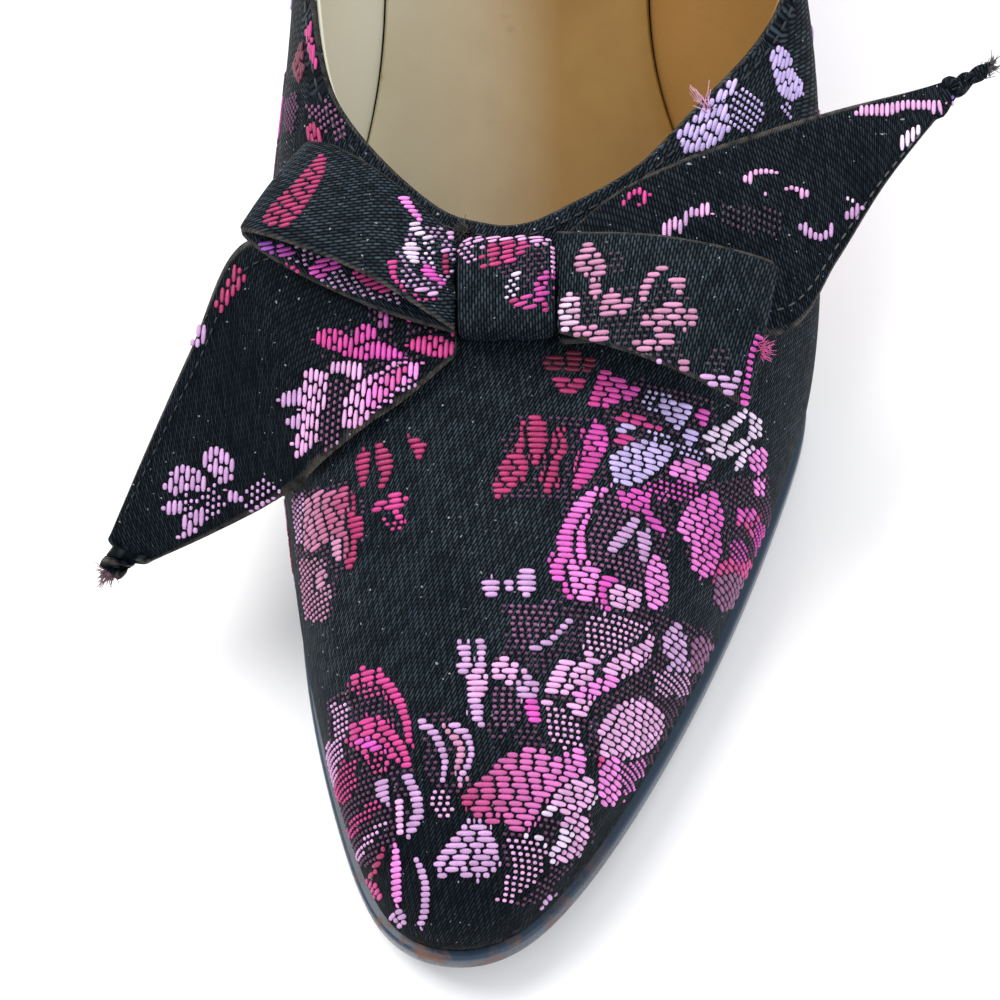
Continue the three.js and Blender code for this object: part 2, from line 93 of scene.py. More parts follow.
# Weave of the brocade
WEFT_PITCH = 0.78
FLOAT_LENGTH = 1.9
FLOAT_GAP = 0.2
FLOAT_WIDTH = 0.74
FLOAT_HEIGHT = 0.4
DOT_LENGTH = 0.6
DOT_SPACING = 1.0
DOT_WIDTH = 0.68  # share of a float's width
FLOAT_RISE = 0.06
SHORTEST_FLOAT = 0.25
SHORTEST_PATH = 0.4
SAMPLE_STEP = 0.12
QUARTER_WEFT_TURN = 27  # degrees from the topline
VAMP_TWILL = 26  # degrees from the length of the cloth to the raised lines of the ground
QUARTER_TWILL = 20

# Stitches under the topline and tufts of loose threads
STITCH_INSET = 1.6
STITCH_LENGTH = 1.7
STITCH_PITCH = 2.3
TUFT_HEIGHT = 0.985  # share of the way up the wall

# What the chart's point of view sees: least slope towards it, and how far beyond its picture the chart goes
GRAZING = 0.04
CHART_MARGIN = 12

# Sections of the last, from the tip along the inner side to the heel and back along the outer side
SECTION_COLUMNS = ("along", "across", "top_along", "top_across", "lift", "flare", "rise", "reach", "drop")
SECTIONS = np.array([
    [0, -0.122, 0, -0.026, 0, 0.024, 0.37, 0.42, 0.22],
    [0.017, -0.238, 0.005, -0.076, 0, 0.024, 0.37, 0.4, 0.22],
    [0.076, -0.324, 0.017, -0.139, 0.02, 0.05, 0.37, 0.33, 0.22],
    [0.178, -0.403, 0.056, -0.229, 0.067, 0.07, 0.37, 0.24, 0.22],
    [0.297, -0.449, 0.109, -0.317, 0.1, 0.12, 0.37, 0.15, 0.24],
    [0.424, -0.464, 0.194, -0.376, 0.133, 0.15, 0.37, 0.08, 0.29],
    [0.593, -0.322, 0.407, -0.399, 0.2, 0.27, 0.34, 0.03, 0.34],
    [0.784, -0.316, 0.683, -0.368, 0.467, 0.15, 0.39, 0.03, 0.39],
    [0.941, -0.224, 0.903, -0.224, 0.867, 0.1, 0.39, 0.03, 0.44],
    [1, 0, 0.979, 0, 1, 0.1, 0.44, 0.03, 0.44],
    [0.941, 0.224, 0.903, 0.224, 0.867, 0.1, 0.39, 0.03, 0.44],
    [0.784, 0.329, 0.683, 0.368, 0.4, 0.15, 0.39, 0.03, 0.39],
    [0.593, 0.3, 0.421, 0.471, 0.033, 0.22, 0.34, 0.03, 0.34],
    [0.424, 0.524, 0.242, 0.512, -0.033, 0.12, 0.34, 0.09, 0.29],
    [0.309, 0.507, 0.132, 0.353, -0.033, 0.1, 0.32, 0.2, 0.27],
    [0.191, 0.354, 0.066, 0.228, -0.033, 0.05, 0.32, 0.31, 0.24],
    [0.085, 0.176, 0.026, 0.109, -0.013, 0.024, 0.34, 0.37, 0.23],
    [0.017, 0.013, 0.005, 0.034, 0, 0.024, 0.37, 0.41, 0.22],
])
SECTION_COUNT = len(SECTIONS)

# Folds of the bow, outwards from the knot: the edge nearer the heel, then the edge nearer the toe
LOOP_MEDIAL = np.array([
    [-0.056, 0.06, 0.042, -0.056, -0.05, 0.042],
    [-0.137, 0.13, 0.056, -0.152, 0.007, 0.066],
    [-0.197, 0.17, 0.045, -0.268, 0.063, 0.046],
    [-0.217, 0.175, 0.026, -0.29, 0.072, 0.026],
    [-0.193, 0.152, 0.012, -0.262, 0.05, 0.012],
    [-0.129, 0.1, 0.018, -0.144, -0.015, 0.018],
    [-0.056, 0.056, 0.025, -0.056, -0.048, 0.025],
])
LOOP_LATERAL = np.array([
    [0.056, 0.06, 0.045, 0.056, -0.056, 0.045],
    [0.165, 0.04, 0.078, 0.154, -0.098, 0.07],
    [0.262, 0.016, 0.078, 0.232, -0.133, 0.056],
    [0.285, 0.01, 0.064, 0.25, -0.14, 0.038],
    [0.257, 0.004, 0.046, 0.227, -0.12, 0.024],
    [0.16, 0.02, 0.032, 0.152, -0.074, 0.02],
    [0.056, 0.055, 0.026, 0.056, -0.04, 0.026],
])
TAIL_MEDIAL = np.array([
    [-0.056, 0.05, 0.012, -0.056, -0.068, 0.012],
    [-0.137, 0.075, 0.012, -0.112, -0.116, -0.008],
    [-0.225, 0.088, -0.01, -0.168, -0.152, -0.036],
    [-0.304, 0.086, -0.042, -0.216, -0.178, -0.062],
    [-0.36, -0.026, -0.068, -0.272, -0.207, -0.084],
    [-0.41, -0.138, -0.086, -0.336, -0.236, -0.096],
    [-0.45, -0.233, -0.1, -0.402, -0.264, -0.103],
])
TAIL_LATERAL = np.array([
    [0.056, 0.062, 0.013, 0.056, -0.058, 0.013],
    [0.12, 0.115, 0.018, 0.12, -0.055, 0.013],
    [0.2, 0.15, 0.032, 0.2, -0.044, 0.01],
    [0.287, 0.177, 0.038, 0.306, -0.04, -0.006],
    [0.372, 0.202, 0.037, 0.36, 0.036, 0.006],
    [0.44, 0.219, 0.036, 0.412, 0.114, 0.028],
    [0.48, 0.23, 0.036, 0.468, 0.184, 0.036],
])
TIP_MEDIAL = (-0.468, -0.292, -0.112)
TIP_LATERAL = (0.532, 0.248, 0.034)

random = np.random.default_rng(37)


# Blends
def mix(a, b, share):
    return a + (b - a) * share


def smooth(share):
    held = np.clip(share, 0, 1)
    return held * held * (3 - 2 * held)


def unit(vectors):
    return vectors / np.maximum(np.linalg.norm(vectors, axis=-1, keepdims=True), 1e-9)


def arc_lengths(points):
    """Distance from the first point of a path to each of its points."""
    steps = np.linalg.norm(np.diff(points, axis=0), axis=-1)
    return np.concatenate([np.zeros((1,) + steps.shape[1:]), np.cumsum(steps, axis=0)])


def lengths_across(grid):
    """Distance along each row of a grid of points from its first point."""
    return arc_lengths(grid.transpose(1, 0, 2)).T


def add_object(name, data):
    made = bpy.data.objects.new(name, data)
    bpy.context.scene.collection.objects.link(made)
    return made


# Camera
def camera_axes():
    forward = np.array([
        -math.sin(CAMERA_YAW) * math.cos(CAMERA_PITCH),
        math.cos(CAMERA_YAW) * math.cos(CAMERA_PITCH),
        -math.sin(CAMERA_PITCH),
    ])
    level = np.array([math.cos(CAMERA_YAW), math.sin(CAMERA_YAW), 0])
    up = np.cross(level, forward)
    right = level * math.cos(CAMERA_ROLL) + up * math.sin(CAMERA_ROLL)
    top = up * math.cos(CAMERA_ROLL) - level * math.sin(CAMERA_ROLL)
    return right, top, forward


def make_camera():
    right, top, forward = camera_axes()
    data = bpy.data.cameras.new("camera")
    data.sensor_width = SENSOR
    data.lens = FOCAL_PIXELS / PHOTO_SIZE * SENSOR
    data.clip_start = 0.01
    data.clip_end = 20
    camera = add_object("camera", data)
    turn = Matrix([right.tolist(), top.tolist(), (-forward).tolist()]).transposed().to_4x4()
    camera.matrix_world = Matrix.Translation(Vector(CAMERA_PLACE * MM)) @ turn
    bpy.context.scene.camera = camera


def chart_places(points):
    """Where points of the shoe lie on the chart of the pattern, which is drawn as the camera sees it."""
    right, top, forward = camera_axes()
    seen = points - CAMERA_PLACE
    depth = seen @ forward
    centre = PHOTO_SIZE / 2
    return np.stack([
        centre + FOCAL_PIXELS * (seen @ right) / depth,
        centre - FOCAL_PIXELS * (seen @ top) / depth,
    ], axis=-1)


make_camera()


# The last
def feather_height(along):
    """Height of the feather line over the floor: toe spring, flat tread, shank and heel seat."""
    rise = np.maximum(0, (along - TREAD_END) / (LAST_LENGTH - TREAD_END))
    shank = (HEEL_HEIGHT - SOLE_TOP) * rise * rise * (3 - 2 * rise)
    seat = SEAT_SLOPE * rise * rise * (rise - 1) * (LAST_LENGTH - TREAD_END)
    spring = np.maximum(0, (TREAD_START - along) / TREAD_START)
    return SOLE_TOP + shank + seat + TOE_SPRING * spring * spring


def closed_curve(values):
    """Smooth closed curve through one column of a table, with the rows at whole numbers."""
    chords = np.roll(values, -1) - np.roll(values, 1)
    slopes = chords / 2
    for _ in range(40):
        slopes = (3 * chords - np.roll(slopes, -1) - np.roll(slopes, 1)) / 4

    def at(position):
        start = np.floor(position).astype(int)
        t = position - start
        here = start % len(values)
        following = (start + 1) % len(values)
        bend = (1 - t) * (1 - t)
        near = (1 + 2 * t) * bend * values[here] + t * bend * slopes[here]
        return near + t * t * (3 - 2 * t) * values[following] + t * t * (t - 1) * slopes[following]

    return at


section = {name: closed_curve(SECTIONS[:, k]) for k, name in enumerate(SECTION_COLUMNS)}


def place(across, along, height):
    return np.stack(np.broadcast_arrays(across, along - TREAD_MIDDLE, height), axis=-1)


def feather_point(position):
    along = section["along"](position) * LAST_LENGTH
    return place(section["across"](position) * BALL_WIDTH, along, feather_height(along))


def topline_point(position):
    along = mix(VAMP_LENGTH, LAST_LENGTH, section["top_along"](position))
    lift = mix(INSTEP_HEIGHT, BACK_HEIGHT, section["lift"](position))
    return place(section["top_across"](position) * BALL_WIDTH, along, feather_height(along) + lift)


def outwards(point_at, position):
    """Direction straight out of a plan outline that runs from the tip along the inner side."""
    step = 0.001
    ahead = point_at(position + step)
    behind = point_at(position - step)
    flat = np.zeros_like(ahead[..., 0])
    return unit(np.stack([behind[..., 1] - ahead[..., 1], ahead[..., 0] - behind[..., 0], flat], axis=-1))


def upper_point(position, height):
    """The outer face of the upper: height 0 is the feather line and 1 the topline."""
    position, height = np.broadcast_arrays(np.asarray(position, float), np.asarray(height, float))
    feather = feather_point(position)
    topline = topline_point(position)
    leaving = outwards(feather_point, position) * (section["flare"](position) * INSTEP_HEIGHT)[..., None]
    leaving[..., 2] = section["rise"](position) * INSTEP_HEIGHT
    arriving = outwards(topline_point, position) * (section["reach"](position) * VAMP_LENGTH)[..., None]
    arriving[..., 2] = -section["drop"](position) * INSTEP_HEIGHT
    t = height[..., None]
    s = 1 - t
    near = s * s * s * feather + 3 * s * s * t * (feather + leaving)
    return near + 3 * s * t * t * (topline + arriving) + t * t * t * topline


def upper_outwards(position, height):
    """Direction out of the upper's outer face."""
    step = 0.002
    around = upper_point(position + step, height) - upper_point(position - step, height)
    above = upper_point(position, np.minimum(1, height + step))
    below = upper_point(position, np.maximum(0, height - step))
    return unit(np.cross(above - below, around))


# Soft creases of the upper: plan places across and along, width, and height of the ridge or trough
UPPER_CREASES = [
    ((-26, 62), (-14, 50), 3.2, -0.35),
    ((-30, 72), (-16, 62), 3.0, 0.3),
    ((20, 60), (32, 70), 3.4, -0.35),
    ((26, 84), (35, 96), 3.6, 0.3),
    ((-6, 14), (-14, 22), 3.0, -0.22),
    ((2, 40), (10, 34), 4.0, -0.25),
]


def crease_height(across, along):
    """Lift of the cloth at a plan place, from the creases near it."""
    lift = np.zeros_like(across)
    for start, end, width, height in UPPER_CREASES:
        start, end = np.array(start, float), np.array(end, float)
        run = end - start
        share = ((across - start[0]) * run[0] + (along - start[1]) * run[1]) / (run @ run)
        share = np.clip(share, 0, 1)
        off = np.hypot(across - start[0] - share * run[0], along - start[1] - share * run[1])
        lift += height * np.exp(-(off / width) ** 2) * (0.5 + 0.5 * np.sin(np.pi * share))
    return lift


def cloth_point(position, height):
    """The upper's outer face with its creases, and the direction out of it."""
    position, height = np.broadcast_arrays(np.asarray(position, float), np.asarray(height, float))
    point = upper_point(position, height)
    out = upper_outwards(position, height)
    lift = crease_height(point[..., 0], point[..., 1] + TREAD_MIDDLE)
    fade = smooth(height / 0.15) * smooth((1 - height) / 0.06)
    return point + out * (lift * fade)[..., None], out


# Meshes
def grid_faces(rows, columns, close_rows=False, close_columns=False):
    """Four-sided faces of a grid of points, the rows one after the other."""
    faces = []
    for i in range(rows if close_rows else rows - 1):
        for j in range(columns if close_columns else columns - 1):
            here, there = i * columns, (i + 1) % rows * columns
            beside = (j + 1) % columns
            faces.append((here + j, there + j, there + beside, here + beside))
    return faces


def set_values(mesh, name, values, kind="FLOAT", field="value"):
    """Writes a value for every point of a mesh."""
    layer = mesh.attributes.new(name, kind, "POINT")
    layer.data.foreach_set(field, np.array(values, np.float32).ravel())


def corner_points(mesh):
    return np.array([loop.vertex_index for loop in mesh.loops])


def set_weave(mesh, corner_uv):
    """Writes where each corner of a face lies in the flat cloth."""
    layer = mesh.uv_layers.new(name="weave")
    layer.data.foreach_set("uv", np.array(corner_uv, np.float32).ravel())


def new_piece(name, points, faces, finish, uv=None, corner_uv=None, wear=None, painted_shade=0):
    """A mesh object at the origin. The points are in millimetres."""
    mesh = bpy.data.meshes.new(name)
    mesh.from_pydata((np.asarray(points, float).reshape(-1, 3) * MM).tolist(), [], [tuple(f) for f in faces])
    if uv is not None:
        corner_uv = np.asarray(uv).reshape(-1, 2)[corner_points(mesh)]
    if corner_uv is not None:
        set_weave(mesh, corner_uv)
    if wear is not None:
        set_values(mesh, "wear", wear)
    set_values(mesh, "painted_shade", np.broadcast_to(np.ravel(painted_shade), len(mesh.vertices)))
    mesh.materials.append(finish)
    mesh.shade_smooth()
    mesh.validate()
    piece = add_object(name, mesh)
    turn_outwards(piece)
    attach(piece, "root")
    return piece


def turn_outwards(piece):
    """Turns a closed mesh right side out."""
    mesh = piece.data
    mesh.calc_loop_triangles()
    points = np.array([v.co[:] for v in mesh.vertices])
    corners = np.array([t.vertices[:] for t in mesh.loop_triangles])
    a, b, c = (points[corners[:, k]] for k in range(3))
    if np.einsum("ij,ij->i", np.cross(a, b), c).sum() < 0:
        mesh.flip_normals()


def tube_faces(rings, around):
    """Faces of a closed tube, whose points are its first tip, its rings and its last tip."""
    last = 1 + (rings - 1) * around
    faces = [(0, 1 + k, 1 + (k + 1) % around) for k in range(around)]
    faces += [tuple(1 + v for v in face) for face in grid_faces(rings, around, close_columns=True)]
    faces += [(last + around, last + (k + 1) % around, last + k) for k in range(around)]
    return faces


def thread_tube(path, radii, sides):
    """Points and faces of a thin tube round a path, closed to a point at both ends."""
    tangents = unit(np.gradient(path, axis=0))
    side = np.cross(tangents[0], [0.3, 0.5, 0.81])
    angles = np.arange(sides) * 2 * np.pi / sides
    rings = []
    for centre, radius, tangent in zip(path, radii, tangents):
        side = unit(side - tangent * (side @ tangent))
        other = np.cross(tangent, side)
        rings.append(centre + radius * (np.cos(angles)[:, None] * side + np.sin(angles)[:, None] * other))
    first = path[:1] - tangents[:1] * radii[0] * 0.6
    last = path[-1:] + tangents[-1:] * radii[-1] * 0.6
    return np.concatenate([first, *rings, last]), tube_faces(len(path), sides)


# Finishes
class Finish:
    """A material as it is put together: each call adds one node and gives back its output."""

    def __init__(self, name, **constants):
        self.material = bpy.data.materials.new(name)
        self.material.use_nodes = True
        self.tree = self.material.node_tree
        self.shader = self.tree.nodes["Principled BSDF"]
        for socket, value in constants.items():
            self.shader.inputs[socket.replace("_", " ")].default_value = value

    def node(self, kind, output=0, settings=None, **inputs):
        made = self.tree.nodes.new(kind)
        for name, value in (settings or {}).items():
            setattr(made, name, value)
        for name, value in inputs.items():
            key = int(name[1:]) if name[0] == "i" and name[1:].isdigit() else name.replace("_", " ")
            self.feed(made.inputs[key], value)
        return made.outputs[output]

    def feed(self, socket, value):
        if isinstance(value, bpy.types.NodeSocket):
            self.tree.links.new(value, socket)
        else:
            socket.default_value = value

    def math(self, operation, a, b=0.0, c=0.0):
        return self.node("ShaderNodeMath", settings={"operation": operation}, i0=a, i1=b, i2=c)

    def blend(self, share, a, b, kind="MIX"):
        made = self.tree.nodes.new("ShaderNodeMix")
        made.data_type = "RGBA"
        made.blend_type = kind
        for key, value in ((0, share), (6, a), (7, b)):
            self.feed(made.inputs[key], value)
        return made.outputs[2]

    def times(self, a, b):
        return self.math("MULTIPLY", a, b)

    def ramp(self, value, low, high):
        return self.node("ShaderNodeMapRange", Value=value, From_Min=low, From_Max=high)

    def noise(self, where, scale, detail=3.0, roughness=0.5):
        return self.node("ShaderNodeTexNoise", Vector=where, Scale=scale, Detail=detail, Roughness=roughness)

    def object_places(self):
        return self.node("ShaderNodeTexCoord", output="Object")

    def attribute(self, name, output):
        made = self.tree.nodes.new("ShaderNodeAttribute")
        made.attribute_name = name
        return made.outputs[output]

    def bump(self, height, distance, strength=1.0):
        made = self.tree.nodes.new("ShaderNodeBump")
        made.inputs["Strength"].default_value = strength
        made.inputs["Distance"].default_value = distance
        self.feed(made.inputs["Height"], height)
        return made.outputs[0]

    def done(self, colour=None, roughness=None, normal=None):
        if colour is not None:
            self.feed(self.shader.inputs["Base Color"], colour)
        if roughness is not None:
            self.feed(self.shader.inputs["Roughness"], roughness)
        if normal is not None:
            self.feed(self.shader.inputs["Normal"], normal)
        return self.material


def paint(red, green, blue):
    """A colour given as it looks on a screen, as the shader's own linear values."""
    screen = (red, green, blue)
    linear = [((v / 255 + 0.055) / 1.055) ** 2.4 if v > 10 else v / 255 / 12.92 for v in screen]
    return (*(float(v) for v in linear), 1.0)


def tint(colour):
    return np.array(paint(*colour)[:3])


def satin_ground():
    """Dark satin ground: fine raised warp floats in staggered columns, worn paler along folded edges."""
    finish = Finish("satin_ground", Specular_IOR_Level=0.04)
    column_pitch = 0.4
    float_length = 1.35
    stagger = 0.4
    places = finish.node("ShaderNodeUVMap", settings={"uv_map": "weave"})
    columns = finish.node("ShaderNodeSeparateXYZ", Vector=places)
    rows = columns.node.outputs[1]
    column = finish.math("DIVIDE", columns, column_pitch)
    column_number = finish.math("FLOOR", column)
    row = finish.math("MULTIPLY_ADD", column_number, stagger, finish.math("DIVIDE", rows, float_length))
    row_number = finish.math("FLOOR", row)
    across = finish.math("SINE", finish.times(finish.math("FRACT", column), math.pi))
    along = finish.math("SINE", finish.times(finish.math("FRACT", row), math.pi))
    height = finish.times(finish.math("POWER", across, 0.7), finish.math("POWER", along, 0.3))
    cell = finish.node("ShaderNodeCombineXYZ", X=column_number, Y=row_number)
    chance = finish.node("ShaderNodeTexWhiteNoise", settings={"noise_dimensions": "3D"}, Vector=cell)
    uneven = finish.math("MULTIPLY_ADD", chance, 0.75, 0.25)
    shine = finish.times(finish.math("POWER", height, 2.6), uneven)
    where = finish.object_places()
    patches = finish.ramp(finish.noise(where, 60, 4, 0.6), 0.35, 0.7)
    dark = finish.blend(patches, paint(2, 6, 11), paint(5, 10, 15))
    # Raised floats turn from the dark ground to pale teal-grey at their crowns: the thread's colour with a
    # painted sheen where light catches it.
    thread = finish.blend(patches, paint(54, 66, 76), paint(72, 84, 93))
    cloth = finish.blend(shine, dark, thread)
    # Painted shade: the ground darkened towards near black where a piece asks for it, towards the toe, on the
    # inner quarter beside the bow and over the tails.
    cloth = finish.blend(finish.times(finish.attribute("painted_shade", "Fac"), 0.85), cloth, paint(2, 5, 10))
    rubbed = finish.ramp(finish.noise(where, 700, 3), 0.3, 0.6)
    wear = finish.times(finish.attribute("wear", "Fac"), rubbed)
    cloth = finish.blend(finish.times(wear, 0.75), cloth, paint(112, 106, 98))
    lint = finish.ramp(finish.noise(where, 1500, 1, 0.4), 0.755, 0.79)
    cloth = finish.blend(finish.times(lint, 0.7), cloth, paint(170, 175, 178))
    roughness = finish.math("SUBTRACT", 0.62, finish.times(shine, 0.22))
    return finish.done(cloth, roughness, finish.bump(height, 0.00016))


def float_silk():
    """Coloured silk of the pattern: the colour is carried by each float, and fine fibres run along it."""
    finish = Finish("float_silk", Specular_IOR_Level=0.35)
    places = finish.node("ShaderNodeUVMap", settings={"uv_map": "fibre"})
    fibres = finish.node("ShaderNodeTexWave", Vector=places, Scale=9.0, Distortion=1.5)
    where = finish.object_places()
    uneven = finish.ramp(finish.noise(where, 900, 3), 0.25, 0.75)
    colour = finish.attribute("thread_colour", "Color")
    shaded = finish.blend(finish.times(uneven, 0.3), colour, (0.25, 0.2, 0.25, 1), "MULTIPLY")
    return finish.done(shaded, 0.42, finish.bump(fibres, 0.00003, 0.5))


def lining_leather():
    """Lining inside the wall, finely grained: pale cream on the inner side and golden tan on the outer side,
    the leather's own tone with painted light on the inner side and painted shade on the outer side.
    """
    finish = Finish("lining_leather", Specular_IOR_Level=0.35)
    where = finish.object_places()
    across = finish.node("ShaderNodeSeparateXYZ", Vector=where)
    side = finish.ramp(across, -0.014, 0.02)
    grain = finish.node("ShaderNodeTexVoronoi", Vector=where, Scale=1300)
    clouds = finish.noise(where, 45, 4, 0.6)
    pale = finish.blend(clouds, paint(224, 224, 206), paint(212, 210, 188))
    golden = finish.blend(clouds, paint(156, 116, 62), paint(134, 95, 44))
    # Lit and shaded sides of the one lining: painted light on the inner side, painted shade on the outer
    # side.
    colour = finish.blend(side, pale, golden)
    return finish.done(colour, 0.5, finish.bump(grain, 0.00005, 0.4))


def sock_leather():
    """Leather sock over the insole: warm beige turning golden towards the outer side, the leather's own tone
    with painted light on the inner side and painted shade on the outer side, with faint spots.
    """
    finish = Finish("sock_leather", Specular_IOR_Level=0.35)
    where = finish.object_places()
    across = finish.node("ShaderNodeSeparateXYZ", Vector=where)
    side = finish.ramp(across, -0.032, 0.006)
    clouds = finish.ramp(finish.noise(where, 38, 5, 0.6), 0.3, 0.7)
    pale = finish.blend(clouds, paint(226, 224, 204), paint(214, 208, 180))
    golden = finish.blend(clouds, paint(146, 112, 52), paint(130, 94, 36))
    # Paler on the inner side and more golden towards the outer side: painted light and painted shade over the
    # leather's tone.
    colour = finish.blend(side, pale, golden)
    spots = finish.ramp(finish.noise(where, 210, 2, 0.5), 0.68, 0.78)
    colour = finish.blend(finish.times(spots, 0.35), colour, paint(120, 92, 56))
    grain = finish.node("ShaderNodeTexVoronoi", Vector=where, Scale=1500)
    return finish.done(colour, 0.48, finish.bump(grain, 0.00004, 0.35))


def sole_finish():
    """Painted leather sole: near black, given as a blue-grey slate that paints in the reflection of the light
    along its edge, rubbed to brown round the toe and along the tread.
    """
    finish = Finish("sole_finish", Specular_IOR_Level=0.22, Coat_Weight=0.05, Coat_Roughness=0.35)
    where = finish.object_places()
    axes = finish.node("ShaderNodeSeparateXYZ", Vector=where)
    along = axes.node.outputs[1]
    toe = finish.ramp(along, -0.05, -0.073)
    rubbed = finish.ramp(finish.noise(where, 260, 5, 0.7), 0.5, 0.66)
    low = finish.ramp(axes.node.outputs[2], 0.0012, 0.0)
    wear = finish.times(rubbed, finish.math("MAXIMUM", toe, low))
    clouds = finish.noise(where, 70, 4, 0.6)
    # Blue-grey slate rather than black: a painted reflection of the light on the sole's edge.
    dark = finish.blend(clouds, paint(34, 46, 60), paint(58, 74, 92))
    colour = finish.blend(finish.times(wear, 0.85), dark, paint(122, 84, 56))
    grain = finish.noise(where, 900, 4, 0.6)
    return finish.done(colour, finish.ramp(wear, -0.6, 1.6), finish.bump(grain, 0.00006, 0.5))


def lift_rubber():
    """Black rubber of the heel tip, finely scuffed."""
    finish = Finish("lift_rubber_finish", Specular_IOR_Level=0.4)
    where = finish.object_places()
    scuffs = finish.ramp(finish.noise(where, 500, 5, 0.7), 0.45, 0.75)
    colour = finish.blend(finish.times(scuffs, 0.5), paint(24, 23, 24), paint(62, 58, 56))
    return finish.done(colour, 0.75, finish.bump(scuffs, 0.00004, 0.5))


def fray_thread():
    """Loose thread ends of the cut cloth."""
    finish = Finish("fray_thread", Sheen_Weight=0.2)
    where = finish.object_places()
    tone = finish.times(finish.ramp(finish.noise(where, 800, 2), 0.35, 0.65), 0.5)
    colour = finish.blend(tone, finish.attribute("thread_colour", "Color"), paint(70, 60, 58))
    return finish.done(colour, 0.6)


SATIN = satin_ground()
SILK = float_silk()
LINING = lining_leather()
SOCK = sock_leather()
SOLE = sole_finish()
RUBBER = lift_rubber()
FRAY = fray_thread()

# Silks of the pattern
SILKS = {
    "ruby": (168, 44, 98),
    "rose": (204, 62, 138),
    "blush": (200, 136, 172),
    "magenta": (222, 84, 190),
    "orchid": (240, 138, 222),
    "petal": (230, 172, 222),
    "pearl": (234, 212, 240),
    "lavender": (206, 186, 240),
    "lilac": (202, 158, 208),
    "mauve": (138, 84, 126),
    "violet": (134, 92, 196),
    "wine": (104, 26, 52),
    "shade": (88, 50, 82),
    "dusk": (74, 56, 72),
}

